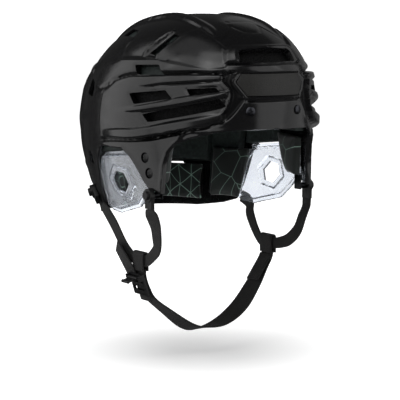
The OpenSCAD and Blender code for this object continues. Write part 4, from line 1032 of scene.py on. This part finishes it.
# Hard small parts: the solids' own shapes with rounded edges, as (node, body, width of the
# rounding, finish), where {} stands for both sides
smallParts = [("fit_dial", "dial", 0.5, "hard_black"),
              ("dial_housing", "helmet", 0.3, "hard_black"),
              ("nape_cradle", "cradle", 0.5, "hard_black"),
              ("buckle_frame", "chin", 0.45, "hard_black"),
              ("buckle_lever", "lever", 0.45, "hard_black"),
              ("front_tab_{}", "front_snap_{}", 0.8, "hard_black"),
              ("rear_tab_{}", "rear_snap_{}", 0.8, "hard_black"),
              ("brow_screws", "helmet", 0.2, "screw"),
              ("lobe_screws_{}", "helmet", 0.2, "lobe_screw"),
              ("front_stud_{}", "helmet", 0.25, "stud"), ("rear_stud_{}", "helmet", 0.25, "steel"),
              ("brow_nuts", "helmet", 0.2, "steel"), ("lobe_nuts", "helmet", 0.2, "steel")]
# The lobe screws' heads stand nearly level with the moulded lobe, as on the real one
lobeMiddle, lobeRaise = (64.3, -36.0), 1.7


def smallPart(node, body, width, finish):
    bm = bmesh.new()
    bm.from_mesh(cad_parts[node].data)
    bmesh.ops.remove_doubles(bm, verts=bm.verts[:], dist=0.01 * mm)
    bmesh.ops.dissolve_limit(bm, angle_limit=math.radians(2), verts=bm.verts[:],
                             edges=bm.edges[:], delimit=set())
    if node.startswith("lobe_screws"):
        out = facing(lobeMiddle[0] * (1 if node.endswith("left") else -1), lobeMiddle[1])
        bmesh.ops.translate(bm, vec=Vector(out * lobeRaise) * mm, verts=bm.verts[:])
    mesh = withModifiers(meshOf(bm), roundEdges(width, 3, 40))
    words = node.split("_")
    name = words[0] + "".join(w.capitalize() for w in words[1:])
    slot = "steel" if finish == "stud" else finish
    putPiece(name, mesh, body, slot, [node], finish, sharp=38)


for node, body, width, finish in smallParts:
    for word in ("right", "left") if "{}" in node else ("",):
        smallPart(node.format(word), body.format(word), width, finish)
print("small parts ready")

# Webbing: its thickness, the roundness of its edges and the steps across
webLook = {"thick": 1.6, "edge": 0.45, "across": 6}


def webbing(name, stations, body, node, steps=8, join=None):
    # Stations are [x, y, z, width, turn of the face in the XZ plane, tilt of the face to Y]
    line = bend([list(s) + [0] * (6 - len(s)) for s in stations], steps)
    mid = line[:, :3]
    run = np.gradient(mid, axis=0)
    run /= np.linalg.norm(run, axis=1, keepdims=True)
    turn, tilt = np.radians(line[:, 4]), np.radians(line[:, 5])
    face = np.stack([np.cos(turn) * np.cos(tilt), np.sin(tilt), np.sin(turn) * np.cos(tilt)], -1)
    face -= run * np.sum(face * run, axis=1, keepdims=True)
    face /= np.linalg.norm(face, axis=1, keepdims=True)
    wide = np.cross(run, face)
    passed = np.cumsum(np.linalg.norm(np.diff(mid, axis=0), axis=1))
    length = np.concatenate([[0], passed])
    count = len(line) - 1
    bm = bmesh.new()
    bmesh.ops.create_grid(bm, x_segments=webLook["across"], y_segments=count, size=0.5)
    co = gridCoords(bm)
    j = np.rint((co[:, 1] + 0.5) * count).astype(int)
    across = co[:, 0] * line[j, 3]
    mesh = meshOf(bm, mid[j] + wide[j] * across[:, None])
    setFlow(mesh, np.stack([across, length[j]], -1) * mm)
    mesh = withModifiers(mesh, ("SOLIDIFY", {"thickness": webLook["thick"] * mm, "offset": 0}),
                         roundEdges(webLook["edge"], 2))
    nodes = [node] if node else ()
    piece = putPiece(name, mesh, None if join else body, "webbing", nodes, sharp=50)
    if join:
        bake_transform(piece)


# The loops' places, how low they and the strap behind the ear hang, and the strap's widths
harness = {"loopX": 75.0, "loopY": 24.0, "dropRight": 134.0, "dropLeft": 127.0, "chinDrop": 207.0,
           "webWide": 20.0, "neck": 11.0, "backRight": 32.0, "backLeft": 20.0, "halfLoop": 9.9,
           "rearDrop": 88.0, "frontTab": (66.0, -63.0), "frontLobe": (62.0, -63.0),
           "tabEnd": -78.0, "rearEnd": (107.0, -84.5, 2.1), "blendLength": 26}
loopX, loopY, webWide, neck, halfLoop, chinDrop, rearDrop, tabEnd = (harness[k] for k in (
    "loopX", "loopY", "webWide", "neck", "halfLoop", "chinDrop", "rearDrop", "tabEnd"))
strapX = float(skin(*harness["frontTab"])[0]) + 0.8 + 1.8
tabY = float(skin(*harness["frontLobe"])[1])
rearEnd = over(*harness["rearEnd"])
rearFace = facing(*fixings["rearStud"])
rearTurn = math.degrees(math.atan2(rearFace[2], rearFace[0]))
# The strand from the front tab to the loop as [x, y, z, width, tilt]: it hangs otherwise on
# the two sides
frontStrands = {
    "Right": [[strapX, tabY, tabEnd + 0.7, 13.2, 0],
              [strapX - 0.4, tabY - 0.6, tabEnd - 3, 15.4, -4],
              [strapX - 2.4, tabY - 1.2, tabEnd - 8, 17.4, -11],
              [strapX - 6, tabY + 0.6, tabEnd - 16, 17, -11], [81, tabY + 4.4, -104, 15.2, -6],
              [78.2, tabY + 8.6, -117, 13.6, -2], [76.4, -51, -124.5, 12, 0],
              [75.4, -37, -132.3, 11, 0]],
    "Left": [[strapX, tabY, tabEnd + 0.7, 13.2, 0], [strapX - 0.3, tabY, tabEnd - 3, 13.2, 0],
             [strapX - 1.5, tabY - 0.8, tabEnd - 8, 13.2, 0],
             [strapX - 6, tabY - 1, tabEnd - 17, 13, 0], [81, tabY + 2, -109.5, 13, 0],
             [78.4, tabY + 13, -120, 12.4, 0], [76.6, -45, -124.2, 11.6, 0],
             [75.4, -36, -125.8, 11, 0]]}


def sideRoute(word):
    # The side strap's two strands, which meet in the loop
    drop, back = harness["drop" + word], harness["back" + word]
    front = [p[:4] + [0, p[4]] for p in frontStrands[word]]
    front.append([loopX, -loopY, 0.3 - drop, neck, 0, 0])
    rear = [[loopX, -loopY, 0.3 - drop, neck, 0], [loopX + 0.3, 12 - loopY, 1.1 - drop, neck, 0]]
    for out, along, fall, width, turn in ((1.5, 0.4, 0.27, 0.6, 0), (3, 0.8, 0.68, 0.7, -4)):
        y = 12 - loopY + (back + loopY - 12) * along
        rear.append([loopX + out, y, -drop + (drop - rearDrop) * fall, webWide * width, turn])
    x = loopX + 3 + (rearEnd[0] - loopX - 3) * 0.7
    return front, rear + [[x, back, -rearDrop - 2, webWide * 0.7, -10],
                          [*rearEnd, webWide * 0.6, rearTurn]]


for side, word in ((1, "Left"), (-1, "Right")):
    front, rear = sideRoute(word)
    for part, route, end in (("Front", front, 0), ("Rear", rear, -1)):
        turned = [[p[0] * side, *p[1:4], p[4] if side > 0 else 180 - p[4], *p[5:]] for p in route]
        top = turned[end][:3]
        low = [top[0], top[1], top[2] - harness["blendLength"]]
        webbing("strap" + part + word, turned, "helmet", "side_strap_" + word.lower(),
                join=(part.lower() + "_snap_" + word.lower(), low, top))

# The chin strap as [x, z, turn, tilt], in the upright plane through both loops
underRight, underLeft = (-harness["drop" + word] - halfLoop for word in ("Right", "Left"))
chinRoute = [
    [-loopX, underRight + 2.6, 180, 0], [-loopX + 0.5, underRight - 5, 184, 0],
    [-loopX + 4.5, underRight - 16, 200, 0], [-63.6, -172, 214, -4], [-45, 20 - chinDrop, 228, -12],
    [-22.6, 4 - chinDrop, 250, -21], [-6, -chinDrop, 268, -14], [18, 4 - chinDrop, 290, 9],
    [40, 18 - chinDrop, 306, 20], [56, 38 - chinDrop, 322, 13], [67.4, underLeft - 14, 338, 2],
    [loopX - 2.2, underLeft - 5, 348, 0], [loopX, underLeft + 2.6, 358, 0]]
webbing("chinStrap", [[x, -loopY, z, webWide, turn, tilt] for x, z, turn, tilt in chinRoute],
        "chin", "chin_strap")
# The sewn end that folds back under the loop on the wearer's left
webbing("chinFlap", [[72.6, -24, -137.8, 19.4, 352], [69.8, -24, -142.8, 19.4, 344],
                     [62.4, -24.8, -152.6, 19.4, 334], [54.6, -26, -162.4, 19, 328]],
        "chin", None, 5)


def loopRoute(side, drop):
    # Up the outside, over the side strap and down the inside, in the plane across the strap
    lines = [(2.7, -halfLoop + 0.6, 0), (2.7, 0, 0), (2.7, halfLoop - 3.4, 0),
             (1.9, halfLoop - 1.4, 50), (0, halfLoop - 0.8, 90), (-1.9, halfLoop - 1.4, 130),
             (-2.7, halfLoop - 3.4, 180), (-2.7, 0, 180), (-2.7, -halfLoop + 0.6, 180)]
    return [[(loopX + dx) * side, -loopY, -drop + dz, webWide, turn if side > 0 else 180 - turn]
            for dx, dz, turn in lines]


webbing("strapLoopLeft", loopRoute(1, harness["dropLeft"]), "chin", "strap_loop_left", 4)
webbing("strapLoopRight", loopRoute(-1, harness["dropRight"]), "chin", "strap_loop_right", 4)

# The strap through the adjuster as (outwards, along) in its leaning plane, and the loose tail
buckle = {"at": (-loopX + 3.6, -loopY, underRight - 11), "lean": 17,
          "bar": [(-2.6, -19), (-2.9, -5), (-2.9, 7)],
          "tail": [[-77.4, -14.4, -150, 14, 190, -3], [-79.4, -9.2, -142.1, 18, 191, 3],
                   [-79.9, 2.2, -132.6, 19, 194, 8], [-81, 12.3, -122.2, 19, 196, 9]]}
atX, atY, atZ = buckle["at"]
lean = math.radians(-buckle["lean"])
bar = [[atX + math.cos(lean) * x + math.sin(lean) * z, atY,
        atZ - math.sin(lean) * x + math.cos(lean) * z, webWide, -buckle["lean"]]
       for x, z in buckle["bar"]]
webbing("buckleBar", bar, "chin", "buckle_bar")
webbing("strapTail", buckle["tail"], "chin", "strap_tail")
print("webbing ready")

# Stage, light and camera
stageLook = {"floorDrop": 25, "stageRadius": 9, "azimuth": -32, "elevation": 6.5, "distance": 1.8,
             "target": (0, -0.0134, -0.0797), "lens": 162, "sensor": 36,
             # Soft boxes as bearing, height angle, distance, width, height and brightness
             "boxes": {"leftNear": (-57, 25, 2.6, 0.95, 2.6, 0.95),
                       "leftMiddle": (-86, 14, 2.6, 1.95, 4.0, 1.0),
                       "leftFar": (-131, 12, 2.6, 2.35, 3.6, 0.92),
                       "frontNear": (25, 13, 2.6, 2.2, 3.9, 0.85),
                       "frontFar": (69, 13, 2.6, 2.2, 3.9, 0.52),
                       "rearRight": (125, 10, 2.6, 1.8, 3.2, 0.13),
                       "kiteSoft": (-52, 51, 2.2, 1.4, 1.2, 1.25),
                       "kiteHigh": (-98, 63, 2.2, 1.7, 0.95, 0.36),
                       "sparkSoft": (-20, 62, 2.0, 0.3, 0.3, 1.6)},
             # A light from above for the floor alone: distance, width and brightness
             "topSoft": (1.6, 1.5, 1.2), "lightTarget": (0, 0, -0.03),
             # The floor's painted glow: its strength under the helmet, far from it, and how far
             # that is. It is weaker under the helmet, so the floor is darker there and the cast
             # shadow shows.
             "floorGlow": (0.3, 1.0, 0.29), "backdropGlow": 1.05, "aroundBrightness": 0.045}


def glowing(name, hexColour, glow):
    # Matt white card that also glows, so the ground stays white right up to the shadow
    material, tree, shader = newMaterial(name)
    setSockets(tree, shader, Base_Color=toLinear(hexColour), Roughness=0.95,
               Specular_IOR_Level=0.0, Emission_Color=(1, 1, 1, 1), Emission_Strength=glow)
    return material


bm = bmesh.new()
bmesh.ops.create_circle(bm, cap_ends=True, segments=96, radius=stageLook["stageRadius"])
floor = linked("floor", meshOf(bm))
floor.location.z = cadBox[0][2] - stageLook["floorDrop"] * mm
floorFinish = glowing("paleFloor", "#f2f2f2", 1.0)
tree = floorFinish.node_tree
# Painted light: the floor glows, less near the helmet and fully far from it
near, far, reach = stageLook["floorGlow"]
place = addNode(tree, "ShaderNodeTexCoord")
distance = addNode(tree, "ShaderNodeVectorMath", {"operation": "LENGTH"}, [(0, place, "Object")])
spread = addNode(tree, "ShaderNodeMapRange", {"interpolation_type": "SMOOTHSTEP"},
                 [("Value", distance, "Value")],
                 From_Min=0.0, From_Max=reach, To_Min=near, To_Max=far)
setSockets(tree, tree.nodes["Principled BSDF"], [("Emission Strength", spread, "Result")])
floor.data.materials.append(floorFinish)
floor.visible_glossy = False
# The backdrop goes all the way round, so every view has the same white behind it
bm = bmesh.new()
bmesh.ops.create_uvsphere(bm, u_segments=64, v_segments=24, radius=stageLook["stageRadius"])
backdrop = linked("backdrop", meshOf(bm))
backdrop.data.materials.append(glowing("whiteBackdrop", "#ffffff", stageLook["backdropGlow"]))
backdrop.visible_glossy = backdrop.visible_diffuse = backdrop.visible_shadow = False

world = bpy.data.worlds.new("studio")
bpy.context.scene.world = world
world.use_nodes = True
setSockets(world.node_tree, world.node_tree.nodes["Background"], Color=(1, 1, 1, 1),
           Strength=stageLook["aroundBrightness"])


def towards(bearing, rise):
    # The direction with this bearing from the front and this angle over the ground
    b, r = math.radians(bearing), math.radians(rise)
    return Vector((math.sin(b) * math.cos(r), -math.cos(b) * math.cos(r), math.sin(r)))


def softBox(name, bearing, rise, distance, wide, tall, brightness, inGloss=True):
    light = bpy.data.lights.new(name, "AREA")
    light.shape, light.size, light.size_y = "RECTANGLE", wide, tall
    light.energy = brightness * math.pi * wide * tall
    target = Vector(stageLook["lightTarget"])
    holder = linked(name, light)
    holder.location = target + distance * towards(bearing, rise)
    holder.rotation_euler = (target - holder.location).to_track_quat("-Z", "Y").to_euler()
    holder.visible_glossy = inGloss


for name, values in stageLook["boxes"].items():
    softBox(name, *values)
height, width, brightness = stageLook["topSoft"]
softBox("topSoft", 0, 89, height, width, width, brightness, inGloss=False)

camera = bpy.data.cameras.new("camera")
camera.lens, camera.sensor_width = stageLook["lens"], stageLook["sensor"]
holder = linked("camera", camera)
back = towards(stageLook["azimuth"], stageLook["elevation"])
holder.location = Vector(stageLook["target"]) + back * stageLook["distance"]
holder.rotation_euler = back.to_track_quat("Z", "Y").to_euler()
bpy.context.scene.camera = holder
bpy.context.scene.view_settings.view_transform = "Standard"
